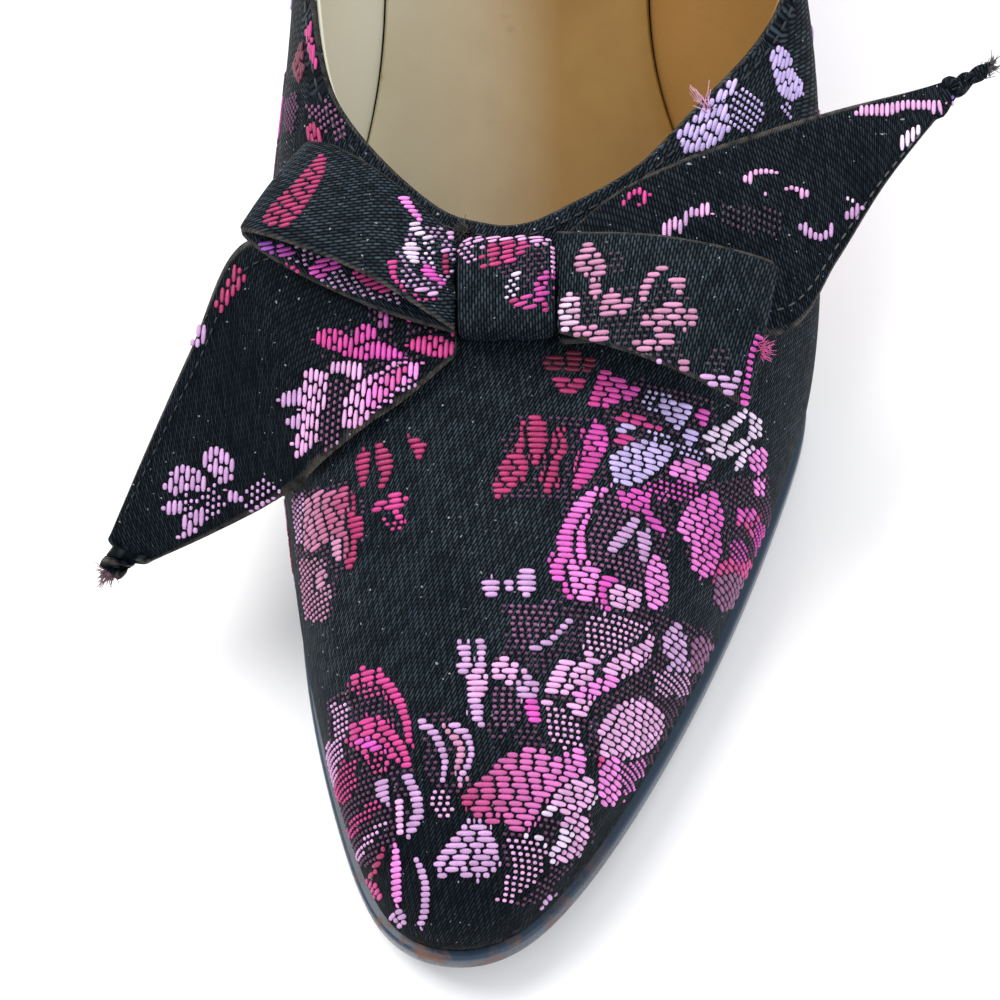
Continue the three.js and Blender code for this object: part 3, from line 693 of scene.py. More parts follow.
# Chart of the pattern where the camera sees it: kind, silk or silks from left to right, and the outline of
# the petal or leaf in chart places, x then y. Later rows lie over earlier ones.
VAMP_CHART = [
    ("dots", "shade", (500, 440, 520, 414, 560, 418, 606, 418, 612, 440, 596, 490, 560, 500, 500, 500)),
    ("dots", "shade", (600, 380, 640, 378, 716, 402, 716, 440, 708, 470, 716, 500, 660, 500, 600, 500,
     600, 440)),
    ("dots", "shade", (562, 500, 600, 484, 668, 486, 676, 520, 668, 570, 668, 612, 600, 612, 556, 600,
     548, 560)),
    ("dots", "shade", (668, 486, 716, 480, 768, 470, 772, 540, 758, 590, 736, 612, 712, 604, 716, 576,
     690, 570)),
    ("dots", "shade", (500, 604, 560, 600, 600, 614, 660, 612, 690, 624, 712, 632, 700, 690, 668, 740,
     640, 800, 606, 800, 590, 750, 560, 752, 520, 744, 488, 740, 470, 700, 470, 664, 500, 650)),
    ("dots", "shade", (292, 492, 350, 482, 368, 500, 366, 540, 340, 575, 332, 622, 306, 622, 296, 560)),
    ("dots", "shade", (326, 700, 350, 690, 400, 700, 416, 760, 412, 820, 392, 850, 360, 870, 336, 800)),
    ("dots", "shade", (416, 716, 446, 712, 474, 740, 474, 790, 440, 800, 424, 770)),
    ("dots", "shade", (500, 815, 590, 800, 594, 840, 560, 880, 540, 904, 500, 906)),
    ("dots", "dusk", (540, 904, 600, 860, 650, 790, 700, 690, 720, 640, 730, 640, 690, 760, 640, 840,
     570, 910)),
    ("bars", "ruby", (517, 440, 520, 420, 534, 415, 550, 420, 551, 454, 530, 471, 510, 494, 494, 499,
     490, 487, 500, 466)),
    ("bars", "ruby", (552, 422, 567, 429, 570, 445, 562, 471, 560, 489, 543, 494, 536, 478, 548, 461)),
    ("bars", ("rose", "magenta"), (578, 431, 595, 419, 609, 424, 612, 438, 600, 461, 591, 466, 586, 487,
     570, 487, 573, 461, 580, 443)),
    ("bars", ("magenta", "orchid"), (576, 498, 595, 485, 614, 485, 602, 501, 597, 525, 595, 549, 583, 563,
     562, 575, 547, 583, 545, 563, 556, 539, 561, 520)),
    ("bars", "magenta", (562, 572, 581, 565, 599, 566, 597, 586, 583, 595, 569, 602, 561, 591)),
    ("bars", "orchid", (595, 588, 609, 576, 622, 584, 618, 600, 603, 610, 594, 602)),
    ("bars", "rose", (733, 518, 746, 506, 760, 514, 764, 532, 755, 541, 746, 527, 738, 525)),
    ("bars", "rose", (713, 567, 727, 558, 746, 554, 756, 572, 748, 598, 735, 612, 720, 607, 711, 596)),
    ("bars", "lilac", (456, 640, 470, 638, 474, 652, 474, 637, 487, 633, 487, 665, 476, 666, 466, 662,
     456, 652)),
    ("bars", "lilac", (454, 662, 466, 664, 480, 662, 494, 667, 492, 684, 490, 702, 470, 696, 467, 680,
     455, 670)),
    ("bars", "lilac", (466, 694, 478, 696, 480, 706, 486, 716, 486, 727, 474, 724, 464, 712)),
    ("bars", "petal", (490, 662, 503, 657, 519, 661, 528, 671, 540, 684, 542, 702, 528, 705, 514, 695,
     504, 683, 493, 673)),
    ("bars", "petal", (516, 703, 541, 700, 557, 704, 564, 718, 562, 730, 576, 742, 560, 748, 546, 744,
     540, 726, 530, 712)),
    ("bars", "petal", (542, 694, 545, 676, 555, 663, 566, 655, 578, 659, 594, 667, 594, 678, 583, 686,
     570, 694)),
    ("bars", "orchid", (570, 693, 580, 683, 592, 677, 606, 673, 622, 671, 622, 685, 610, 693, 596, 699,
     580, 698)),
    ("bars", "petal", (564, 717, 563, 704, 576, 698, 593, 698, 593, 706, 582, 718)),
    ("bars", "petal", (593, 620, 606, 611, 617, 628, 615, 640, 619, 652, 609, 660, 596, 666, 584, 660,
     581, 646, 590, 634)),
    ("bars", "petal", (614, 656, 630, 648, 640, 640, 648, 635, 655, 640, 654, 652, 641, 670, 624, 678,
     605, 672, 605, 661)),
    ("bars", "lilac", (659, 637, 668, 625, 677, 621, 686, 634, 688, 652, 686, 666, 672, 662, 661, 649)),
    ("bars", "lilac", (648, 680, 660, 673, 670, 661, 684, 665, 691, 656, 702, 655, 695, 671, 684, 684,
     672, 692, 660, 690)),
    ("bars", "petal", (595, 732, 604, 716, 615, 705, 630, 699, 646, 696, 652, 704, 661, 710, 665, 722,
     660, 738, 651, 750, 636, 758, 618, 760, 596, 756, 602, 745)),
    ("bars", "rose", (598, 757, 612, 758, 622, 772, 624, 790, 616, 804, 600, 800, 596, 780)),
    ("bars", ("ruby", "orchid"), (456, 803, 461, 792, 475, 783, 483, 773, 492, 763, 505, 757, 522, 751,
     530, 745, 545, 751, 560, 755, 575, 747, 589, 755, 589, 769, 576, 778, 566, 791, 553, 801, 546, 813,
     535, 827, 525, 835, 512, 834, 502, 821, 495, 826, 483, 821, 469, 813)),
    ("bars", "pearl", (552, 800, 562, 786, 572, 779, 581, 775, 594, 781, 600, 795, 592, 808, 580, 814,
     566, 818, 556, 813, 548, 820, 539, 813)),
    ("bars", "pearl", (560, 818, 575, 813, 587, 821, 590, 840, 580, 856, 566, 864, 551, 864, 545, 852,
     556, 841)),
    ("bars", "lilac", (431, 873, 441, 855, 454, 837, 466, 821, 480, 819, 493, 827, 497, 840, 502, 850,
     504, 863, 493, 874, 478, 882, 466, 876, 452, 874, 440, 878)),
    ("bars", "pearl", (523, 834, 540, 831, 548, 845, 543, 863, 535, 882, 521, 894, 507, 904, 493, 904,
     499, 890, 510, 875)),
    ("bars", "blush", (440, 726, 452, 722, 466, 734, 474, 750, 470, 780, 458, 790, 452, 770, 456, 750)),
    ("bars", ("blush", "ruby"), (300, 500, 322, 491, 345, 485, 357, 491, 358, 512, 368, 518, 368, 533,
     359, 541, 359, 562, 345, 574, 342, 558, 332, 560, 330, 541, 318, 550, 306, 554, 301, 537)),
    ("bars", "rose", (346, 690, 350, 674, 364, 667, 382, 668, 398, 681, 408, 699, 416, 722, 416, 752,
     404, 750, 400, 724, 392, 706, 380, 694, 364, 686)),
    ("bars", "rose", (344, 742, 350, 724, 368, 714, 388, 718, 400, 730, 412, 748, 414, 768, 402, 768,
     392, 758, 386, 776, 372, 770, 360, 752)),
    # Three petals at the left of the vamp, which lies in shade, in the darker ruby: their own dark pink with
    # painted shade.
    ("bars", "ruby", (405, 433, 415, 437, 429, 443, 427, 450, 420, 463, 416, 462, 412, 452, 407, 443)),
    ("bars", "ruby", (354, 460, 362, 449, 372, 448, 371, 470, 366, 488, 360, 489, 356, 475)),
    ("bars", "ruby", (374, 446, 384, 444, 392, 452, 396, 462, 392, 476, 384, 490, 376, 490, 380, 475,
     374, 462)),
    ("bars", "rose", (366, 511, 376, 502, 388, 496, 400, 492, 409, 496, 411, 501, 404, 506, 392, 510)),
    ("bars", "rose", (391, 512, 400, 511, 408, 520, 404, 528, 396, 524)),
    ("dots", "rose", (378, 517, 404, 521, 402, 530, 380, 530)),
    ("dots", "petal", (292, 500, 305, 492, 303, 545, 296, 545)),
    ("bars", ("blush", "ruby"), (343, 485, 350, 487, 352, 505, 342, 515, 330, 533, 318, 548, 310, 552,
     303, 545, 305, 535, 312, 510, 318, 500, 327, 494)),
    ("bars", "ruby", (350, 492, 357, 492, 357, 515, 366, 518, 366, 533, 358, 540, 358, 562, 346, 572,
     343, 562, 350, 552, 350, 533, 346, 530, 346, 515, 351, 512)),
    ("bars", "blush", (330, 535, 343, 540, 343, 560, 332, 560)),
    ("dots", "blush", (298, 560, 318, 556, 330, 566, 332, 600, 325, 625, 305, 620)),
    ("bars", "blush", (315, 572, 325, 565, 329, 575, 322, 592, 316, 590)),
    ("bars", "ruby", (524, 425, 535, 418, 548, 420, 550, 440, 545, 455, 535, 462, 527, 450)),
    ("bars", "ruby", (553, 424, 562, 430, 570, 445, 568, 455, 560, 460, 560, 475, 552, 488, 541, 490,
     545, 475, 550, 460, 556, 452, 560, 442, 556, 434)),
    ("bars", "ruby", (496, 468, 508, 452, 524, 450, 531, 465, 527, 480, 515, 487, 500, 484)),
    ("bars", ("rose", "magenta"), (582, 440, 590, 424, 600, 421, 609, 430, 610, 445, 602, 462, 592, 480,
     580, 490, 572, 492, 570, 482, 577, 468, 581, 452)),
    ("bars", "wine", (540, 358, 575, 350, 600, 362, 592, 372, 560, 372, 542, 368)),
    ("bars", "ruby", (548, 374, 575, 380, 588, 378, 585, 388, 572, 396, 556, 390)),
    ("dots", "lavender", (636, 388, 668, 392, 676, 404, 662, 414, 640, 406)),
    ("bars", ("rose", "magenta"), (592, 388, 597, 372, 606, 370, 628, 382, 642, 390, 638, 398, 622, 402,
     612, 406, 600, 408, 586, 404)),
    ("bars", "rose", (612, 419, 622, 413, 640, 416, 652, 422, 664, 428, 660, 434, 640, 424, 625, 422)),
    ("bars", "lavender", (612, 428, 628, 421, 640, 426, 632, 432, 618, 432)),
    ("bars", "rose", (612, 440, 618, 434, 634, 433, 638, 438, 630, 444, 618, 445)),
    ("dots", "lavender", (640, 426, 666, 430, 680, 446, 700, 446, 704, 462, 680, 458, 655, 440)),
    ("bars", "lavender", (606, 458, 618, 450, 632, 442, 655, 438, 664, 444, 676, 446, 670, 460, 658, 472,
     640, 484, 624, 486, 612, 480)),
    ("bars", "lavender", (655, 400, 670, 398, 684, 403, 695, 405, 690, 418, 680, 430, 668, 424,
     660, 412)),
    ("bars", "lavender", (680, 432, 690, 426, 700, 430, 698, 444, 686, 446)),
    ("bars", "magenta", (692, 412, 704, 405, 712, 410, 710, 418, 706, 428, 698, 422)),
    ("bars", "pearl", (700, 436, 712, 426, 722, 424, 735, 413, 745, 408, 752, 412, 742, 424, 735, 430,
     728, 440, 718, 445, 704, 440)),
    ("bars", "pearl", (704, 449, 716, 441, 730, 443, 745, 436, 749, 446, 740, 452, 725, 459, 712, 459)),
    ("bars", "pearl", (748, 412, 758, 415, 763, 425, 762, 436, 755, 440, 745, 440, 748, 428)),
    ("bars", "pearl", (732, 464, 740, 452, 750, 446, 757, 448, 748, 460, 742, 470, 735, 470)),
    ("bars", "orchid", (746, 458, 755, 450, 763, 445, 768, 455, 766, 468, 760, 475, 750, 468)),
    ("bars", "orchid", (752, 478, 765, 479, 764, 496, 754, 496)),
    ("bars", "orchid", (664, 470, 672, 462, 688, 457, 705, 461, 713, 468, 708, 479, 695, 483, 680, 480)),
    ("dots", "magenta", (640, 484, 664, 478, 700, 484, 700, 498, 670, 502, 642, 498)),
    ("dots", "mauve", (598, 500, 620, 486, 648, 500, 650, 560, 640, 600, 606, 604, 590, 580, 586, 530)),
    ("bars", ("magenta", "orchid"), (600, 485, 585, 492, 572, 503, 563, 520, 554, 538, 556, 555, 546, 570,
     552, 582, 565, 580, 578, 566, 574, 548, 576, 530, 584, 516, 596, 504)),
    ("bars", "orchid", (565, 566, 590, 562, 606, 574, 604, 592, 588, 604, 572, 596)),
    ("bars", "magenta", (597, 578, 612, 572, 622, 584, 622, 606, 606, 612, 597, 598)),
    ("bars", "orchid", (648, 556, 658, 555, 668, 570, 670, 588, 668, 602, 654, 612, 645, 602, 643, 578)),
    ("bars", "lilac", (605, 546, 616, 532, 632, 516, 642, 520, 634, 536, 618, 552, 608, 556)),
    ("bars", "lilac", (635, 532, 650, 528, 653, 544, 648, 562, 638, 560)),
    ("bars", "petal", (608, 586, 630, 584, 643, 594, 640, 610, 620, 612, 608, 602)),
    ("bars", "magenta", (615, 492, 636, 488, 652, 496, 650, 510, 668, 530, 664, 538, 650, 526, 640, 512,
     622, 510)),
    ("bars", ("orchid", "magenta"), (690, 500, 705, 492, 718, 492, 725, 520, 720, 535, 723, 550, 713, 576,
     700, 579, 690, 568, 690, 545, 675, 530, 680, 515)),
    ("bars", "magenta", (735, 508, 755, 508, 757, 522, 737, 522)),
    ("dots", "magenta", (752, 520, 766, 524, 768, 560, 755, 568)),
    ("dots", "magenta", (728, 538, 747, 540, 746, 562, 730, 560)),
    ("bars", "mauve", (715, 576, 735, 572, 752, 584, 746, 606, 722, 612, 712, 598)),
    ("bars", "lilac", (480, 580, 492, 576, 502, 580, 500, 594, 488, 598, 480, 592)),
    ("bars", "lilac", (502, 580, 517, 578, 518, 588, 504, 591)),
    ("bars", "lilac", (515, 572, 526, 568, 538, 572, 538, 590, 528, 598, 516, 592)),
    ("bars", "lilac", (510, 630, 520, 640, 535, 644, 548, 638, 557, 628, 564, 620, 574, 616, 574, 622,
     562, 634, 554, 644, 540, 650, 524, 647, 512, 638)),
    ("dots", "mauve", (506, 604, 556, 600, 560, 616, 540, 640, 520, 650, 506, 632)),
    ("dots", "mauve", (486, 690, 500, 682, 526, 692, 520, 722, 506, 738, 490, 724)),
    ("bars", "lilac", (455, 648, 464, 641, 473, 645, 472, 660, 462, 664)),
    ("bars", "lilac", (474, 640, 482, 634, 488, 645, 486, 662, 477, 664)),
    ("bars", "petal", (464, 676, 476, 667, 490, 672, 490, 692, 478, 702, 466, 696)),
    ("bars", "lilac", (466, 700, 478, 695, 486, 706, 484, 722, 472, 724)),
    ("bars", "petal", (490, 664, 505, 659, 520, 664, 518, 680, 502, 683, 491, 677)),
    ("bars", "lilac", (514, 680, 528, 674, 541, 682, 538, 704, 524, 706, 515, 696)),
    ("bars", "magenta", (520, 702, 534, 699, 546, 706, 544, 722, 528, 723)),
    ("bars", "petal", (543, 690, 548, 675, 558, 660, 570, 656, 577, 664, 570, 678, 560, 688)),
    ("bars", "petal", (566, 670, 582, 667, 596, 674, 592, 686, 574, 686)),
    ("bars", "orchid", (575, 690, 590, 682, 605, 675, 620, 674, 621, 685, 605, 693, 590, 698)),
    ("bars", "petal", (564, 702, 578, 699, 591, 704, 588, 718, 570, 718)),
    ("dots", "petal", (541, 705, 566, 706, 584, 730, 582, 748, 560, 750, 544, 736)),
    ("dots", "petal", (583, 618, 610, 614, 655, 624, 640, 640, 604, 660, 586, 650)),
    ("bars", "petal", (600, 668, 615, 655, 645, 640, 655, 636, 654, 650, 630, 672, 612, 676)),
    ("bars", "lilac", (660, 638, 670, 624, 680, 630, 687, 645, 687, 660, 680, 673, 664, 650)),
    ("dots", "petal", (650, 670, 690, 672, 688, 696, 654, 696)),
    ("bars", "mauve", (690, 640, 702, 634, 715, 646, 714, 672, 700, 682, 690, 668)),
    ("bars", "petal", (598, 752, 600, 740, 612, 728, 620, 712, 635, 700, 648, 697, 660, 712, 662, 725,
     655, 738, 645, 748, 630, 756, 612, 758)),
    ("bars", ("ruby", "orchid"), (457, 800, 466, 790, 478, 780, 490, 770, 498, 757, 515, 752, 530, 745,
     545, 755, 560, 762, 575, 752, 588, 757, 585, 772, 560, 795, 545, 800, 540, 812, 532, 825, 522, 833,
     510, 833, 503, 822, 500, 810, 490, 818, 478, 812, 466, 808)),
    ("bars", "petal", (556, 790, 570, 780, 590, 775, 597, 788, 593, 800, 585, 810, 570, 815, 555, 808,
     548, 800)),
    ("bars", "petal", (558, 820, 572, 813, 588, 818, 590, 836, 582, 852, 568, 862, 556, 864, 554, 856,
     566, 848, 575, 838, 572, 826, 560, 828)),
    ("bars", "lilac", (430, 868, 440, 850, 462, 825, 475, 820, 490, 828, 500, 845, 500, 862, 478, 878,
     466, 866, 474, 852, 466, 846, 452, 856, 442, 872)),
    ("dots", "petal", (503, 838, 532, 836, 548, 850, 545, 872, 530, 888, 512, 902, 494, 903, 500, 880,
     512, 866)),
    ("bars", "orchid", (598, 770, 608, 757, 620, 754, 624, 770, 622, 792, 614, 806, 602, 806, 597, 790)),
    ("dots", "orchid", (620, 762, 640, 758, 652, 770, 646, 792, 632, 806, 622, 800)),
    ("bars", "lilac", (540, 905, 546, 895, 558, 893, 561, 902, 552, 911, 542, 912)),
    ("bars", "rose", (347, 684, 352, 674, 366, 670, 382, 671, 396, 683, 406, 700, 413, 722, 414, 743,
     405, 743, 401, 722, 394, 704, 384, 690, 372, 681, 360, 681)),
    ("dots", "rose", (350, 684, 378, 686, 384, 698, 352, 698)),
    ("bars", "rose", (346, 738, 354, 726, 370, 717, 386, 721, 398, 732, 408, 747, 413, 763, 404, 764,
     396, 750, 386, 737, 374, 729, 360, 735, 352, 742)),
    ("bars", "magenta", (350, 742, 360, 736, 374, 738, 388, 750, 386, 758, 374, 752, 362, 748)),
    ("dots", "rose", (370, 752, 384, 752, 384, 776, 372, 776)),
    ("bars", "lilac", (373, 780, 390, 778, 391, 806, 376, 808)),
    ("bars", "lilac", (400, 776, 414, 775, 424, 795, 426, 815, 416, 834, 406, 840, 402, 828, 412, 812,
     408, 795)),
    ("bars", "petal", (394, 800, 405, 800, 405, 832, 396, 836)),
    ("dots", "petal", (330, 703, 348, 700, 349, 738, 334, 744)),
    ("dots", "petal", (326, 742, 344, 742, 346, 788, 330, 790)),
    ("dots", "rose", (340, 760, 358, 758, 358, 788, 344, 806, 334, 800)),
    ("dots", "rose", (385, 800, 368, 803, 352, 816, 346, 838, 354, 840, 362, 824, 376, 812, 386, 810)),
    ("dots", "petal", (388, 820, 372, 828, 360, 844, 354, 862, 360, 862, 370, 846, 382, 832)),
    ("bars", "orchid", (393, 842, 400, 846, 403, 870, 403, 900, 397, 908, 391, 896, 390, 866)),
    ("bars", "ruby", (388, 848, 382, 862, 374, 878, 368, 878, 374, 862, 382, 848)),
    ("bars", "rose", (362, 876, 378, 884, 384, 898, 376, 900, 364, 890)),
    ("bars", "lilac", (388, 912, 400, 906, 408, 916, 404, 930, 392, 932)),
    ("bars", "lilac", (413, 860, 420, 858, 428, 872, 432, 892, 430, 914, 422, 930, 416, 926, 420, 906,
     420, 884)),
    ("bars", "lilac", (416, 720, 426, 719, 438, 728, 446, 742, 450, 760, 446, 782, 438, 782, 441, 764,
     436, 748, 428, 734, 418, 728)),
    ("bars", "lilac", (444, 722, 458, 722, 472, 732, 477, 752, 472, 768, 460, 784, 455, 778, 464, 764,
     468, 752, 462, 738, 450, 730)),
    ("dots", "petal", (425, 790, 440, 786, 456, 800, 452, 816, 430, 816)),
]

LOOP_MEDIAL_CHART = [
    ("dots", "mauve", (400, 262, 442, 262, 446, 296, 404, 296)),
    ("dots", "lilac", (404, 222, 440, 226, 462, 232, 462, 262, 446, 284, 440, 300, 410, 296, 386, 280,
     392, 256, 404, 244)),
    ("bars", "ruby", (321, 153, 329, 157, 327, 170, 320, 186, 310, 202, 300, 216, 290, 225, 272, 228,
     260, 222, 266, 210, 278, 198, 290, 186, 302, 173, 312, 161)),
    ("bars", "petal", (402, 186, 408, 183, 413, 190, 406, 196)),
    ("bars", "orchid", (395, 197, 404, 194, 412, 199, 417, 208, 425, 219, 420, 223, 410, 215, 403, 207)),
    ("bars", "pearl", (407, 222, 420, 221, 426, 232, 437, 238, 430, 245, 418, 237, 408, 232)),
    ("bars", "pearl", (399, 246, 412, 242, 424, 246, 420, 256, 421, 265, 412, 266, 404, 256)),
    ("dots", "pearl", (422, 240, 440, 240, 439, 264, 430, 266, 424, 256)),
    ("bars", "rose", (386, 262, 392, 256, 399, 260, 398, 272, 399, 280, 406, 288, 397, 286, 388, 276)),
    ("bars", "magenta", (417, 268, 427, 264, 437, 272, 441, 279, 449, 283, 444, 287, 430, 280, 423, 276)),
    ("bars", "ruby", (441, 252, 449, 252, 451, 270, 446, 278, 441, 271)),
    ("bars", "petal", (437, 246, 450, 246, 453, 252, 444, 256, 438, 251)),
    ("dots", "lilac", (439, 213, 452, 220, 462, 232, 446, 230)),
    ("bars", "petal", (444, 230, 458, 231, 463, 238, 458, 245, 447, 240)),
    ("bars", "petal", (411, 286, 424, 287, 439, 290, 441, 297, 426, 295, 413, 291)),
    ("dots", "rose", (398, 287, 420, 294, 450, 300, 440, 304, 414, 299)),
]

# Inside the inner loop, on the layer below
LOOP_MOUTH_CHART = [
    ("dots", "lilac", (250, 240, 300, 246, 340, 262, 380, 276, 410, 292, 400, 306, 360, 296, 320, 284,
     280, 272, 252, 252)),
    ("bars", ("violet", "magenta"), (254, 240, 266, 240, 284, 244, 298, 250, 296, 258, 276, 256,
     260, 250)),
    ("bars", "rose", (262, 257, 280, 260, 296, 266, 304, 274, 288, 274, 268, 264)),
    ("bars", "magenta", (304, 272, 316, 260, 334, 258, 346, 264, 332, 272, 318, 281)),
    ("bars", "rose", (346, 268, 362, 272, 384, 282, 398, 292, 380, 294, 360, 284)),
]

LOOP_LATERAL_CHART = [
    ("dots", "dusk", (604, 252, 624, 249, 627, 272, 608, 278)),
    ("dots", "dusk", (566, 296, 600, 284, 640, 286, 690, 280, 694, 312, 676, 330, 692, 372, 670, 374,
     640, 356, 572, 350, 562, 336)),
    ("dots", "dusk", (704, 350, 728, 350, 728, 372, 706, 374)),
    ("bars", "blush", (571, 262, 579, 250, 583, 241, 592, 240, 598, 249, 606, 258, 609, 270, 604, 280,
     592, 284, 584, 276, 574, 270)),
    ("bars", "blush", (588, 284, 601, 278, 604, 290, 597, 300, 588, 296)),
    ("bars", ("pearl", "blush"), (559, 298, 570, 292, 582, 298, 582, 315, 578, 338, 561, 338, 557, 312)),
    ("bars", "blush", (598, 306, 602, 295, 611, 289, 621, 291, 623, 298, 637, 295, 633, 307, 622, 318,
     598, 320)),
    ("bars", "blush", (637, 292, 644, 277, 655, 268, 668, 263, 671, 271, 660, 275, 654, 284, 648, 300,
     640, 306)),
    ("bars", "blush", (664, 276, 688, 274, 687, 290, 678, 296, 672, 290)),
    ("bars", "blush", (640, 318, 652, 311, 664, 303, 680, 304, 692, 306, 702, 314, 697, 324, 686, 331,
     672, 327, 660, 331, 648, 329, 638, 326)),
    ("bars", "blush", (570, 325, 586, 324, 598, 322, 600, 330, 612, 332, 610, 348, 598, 356, 584, 350,
     573, 340)),
    ("bars", "blush", (652, 336, 676, 332, 677, 342, 666, 348, 650, 354, 636, 350, 630, 342, 640, 338)),
    ("bars", "lilac", (643, 358, 652, 355, 664, 362, 660, 372, 646, 368)),
    ("bars", "blush", (676, 358, 691, 361, 690, 370, 678, 370)),
    ("bars", "lilac", (694, 378, 708, 371, 720, 374, 744, 371, 742, 384, 735, 393, 732, 406, 700, 406,
     693, 394)),
    ("bars", "magenta", (746, 352, 754, 334, 764, 334, 762, 356, 757, 380, 748, 408, 736, 406, 742, 380)),
]

KNOT_CHART = [
    ("dots", "shade", (458, 232, 560, 232, 560, 300, 530, 300, 504, 300, 500, 270, 458, 268)),
    ("bars", "petal", (457, 240, 472, 232, 500, 232, 530, 232, 562, 232, 562, 247, 540, 249, 520, 243,
     500, 245, 478, 249, 466, 250)),
    ("bars", ("ruby", "rose"), (476, 262, 482, 250, 490, 243, 504, 241, 520, 241, 536, 243, 525, 253,
     514, 262, 500, 268, 488, 270, 479, 268)),
    ("dots", "petal", (457, 245, 476, 245, 478, 266, 460, 268)),
    ("bars", "pearl", (508, 274, 521, 267, 523, 275, 514, 281)),
    ("dots", "pearl", (503, 278, 522, 276, 521, 292, 514, 302, 504, 300)),
    ("bars", ("ruby", "magenta"), (507, 302, 518, 296, 530, 288, 538, 275, 556, 269, 556, 287, 549, 296,
     541, 304, 530, 313, 521, 309, 512, 307)),
    ("bars", "rose", (538, 304, 556, 302, 556, 312, 540, 313)),
    ("bars", "petal", (549, 245, 560, 245, 559, 271, 550, 273)),
]

TAIL_MEDIAL_CHART = [
    ("dots", "shade", (362, 296, 400, 290, 396, 340, 420, 362, 400, 380, 330, 380, 320, 350, 340, 326,
     366, 322)),
    ("dots", "shade", (404, 306, 440, 304, 476, 330, 474, 360, 420, 362, 404, 346)),
    ("dots", "mauve", (324, 376, 346, 372, 360, 384, 360, 432, 330, 462, 318, 440)),
    ("dots", "lilac", (362, 380, 420, 366, 418, 404, 376, 440, 340, 462, 336, 440, 358, 430)),
    ("dots", "lilac", (176, 482, 214, 480, 226, 500, 222, 518, 200, 524, 176, 520)),
    ("dots", "lilac", (236, 490, 252, 479, 268, 477, 282, 492, 262, 512, 246, 518, 240, 502)),
    ("bars", ("rose", "magenta"), (312, 341, 316, 331, 326, 326, 340, 328, 350, 335, 356, 337, 356, 327,
     363, 322, 374, 323, 376, 338, 386, 342, 398, 348, 410, 359, 400, 364, 376, 360, 352, 364, 338, 353,
     324, 350)),
    ("bars", ("mauve", "magenta"), (378, 290, 394, 288, 392, 310, 386, 330, 378, 330)),
    ("bars", "rose", (403, 323, 418, 308, 440, 306, 458, 320, 472, 340, 460, 346, 446, 332, 425, 320,
     412, 324)),
    ("bars", "rose", (404, 346, 416, 335, 440, 334, 462, 345, 476, 350, 466, 358, 446, 360, 425, 357,
     411, 352)),
    ("bars", "petal", (328, 361, 350, 359, 363, 362, 364, 384, 352, 382, 340, 374, 328, 376)),
    ("bars", "petal", (300, 388, 304, 370, 312, 366, 328, 372, 328, 396, 321, 420, 320, 440, 311, 450,
     300, 459, 292, 461, 292, 441, 299, 430, 298, 400)),
    ("bars", "lilac", (276, 400, 285, 390, 301, 386, 301, 407, 282, 409)),
    ("bars", "lilac", (283, 420, 300, 411, 301, 431, 290, 430)),
    ("bars", ("petal", "orchid"), (343, 430, 343, 400, 355, 385, 368, 374, 382, 370, 393, 360, 424, 361,
     418, 380, 402, 388, 388, 402, 374, 414, 358, 430)),
    ("bars", ("orchid", "rose"), (370, 386, 384, 374, 398, 366, 410, 364, 400, 384, 386, 398, 372, 412,
     364, 406)),
    ("bars", "rose", (378, 414, 395, 401, 411, 392, 403, 411, 386, 426)),
    ("bars", "lilac", (160, 488, 169, 477, 174, 465, 186, 463, 200, 469, 208, 480, 206, 494, 186, 492,
     176, 498)),
    ("bars", "lilac", (160, 508, 170, 499, 183, 499, 183, 515, 168, 517)),
    ("bars", "lilac", (184, 514, 203, 505, 205, 518, 199, 533, 186, 540, 175, 540, 184, 526)),
    ("bars", "lilac", (201, 466, 207, 446, 219, 445, 230, 453, 237, 464, 234, 481, 221, 487, 210, 474)),
    ("bars", "lilac", (223, 487, 236, 490, 248, 501, 231, 506)),
    ("bars", "lilac", (245, 514, 262, 500, 283, 493, 272, 509, 254, 520)),
    ("bars", "ruby", (214, 306, 221, 290, 231, 274, 236, 261, 248, 277, 240, 291, 230, 301, 222, 316)),
    ("bars", "lilac", (188, 346, 195, 322, 207, 324, 206, 341, 200, 350)),
]

TAIL_LATERAL_CHART = [
    ("dots", "dusk", (716, 204, 782, 206, 784, 236, 752, 236, 720, 222)),
    ("bars", "petal", (662, 240, 664, 222, 674, 214, 679, 220, 672, 240)),
    ("bars", "lilac", (674, 234, 683, 212, 693, 205, 691, 220, 680, 236)),
    ("bars", "petal", (691, 216, 700, 202, 711, 201, 713, 216, 700, 219)),
    ("bars", "petal", (740, 182, 748, 170, 760, 167, 776, 169, 780, 176, 765, 175, 752, 177, 756, 185,
     748, 186)),
    ("bars", "petal", (778, 191, 790, 184, 806, 187, 812, 196, 802, 201, 795, 191, 782, 193)),
    ("dots", "petal", (751, 197, 758, 189, 768, 193, 770, 201)),
    ("bars", "rose", (618, 208, 630, 190, 641, 186, 652, 194, 646, 206, 637, 209, 641, 197, 632, 197,
     624, 208)),
    ("bars", "lilac", (794, 224, 806, 221, 815, 231, 825, 233, 828, 221, 835, 221, 836, 237, 820, 243,
     806, 239)),
    ("bars", "lilac", (841, 215, 852, 206, 860, 199, 864, 208, 857, 221, 846, 221)),
    ("dots", "pearl", (837, 198, 852, 192, 863, 199, 852, 204)),
    ("bars", "petal", (849, 117, 862, 104, 880, 103, 905, 99, 935, 99, 959, 97, 956, 109, 936, 119,
     929, 112, 905, 111, 889, 118)),
    ("bars", "pearl", (897, 141, 905, 130, 918, 123, 923, 130, 911, 146, 902, 152)),
    ("dots", "violet", (938, 100, 960, 88, 972, 88, 966, 101)),
]

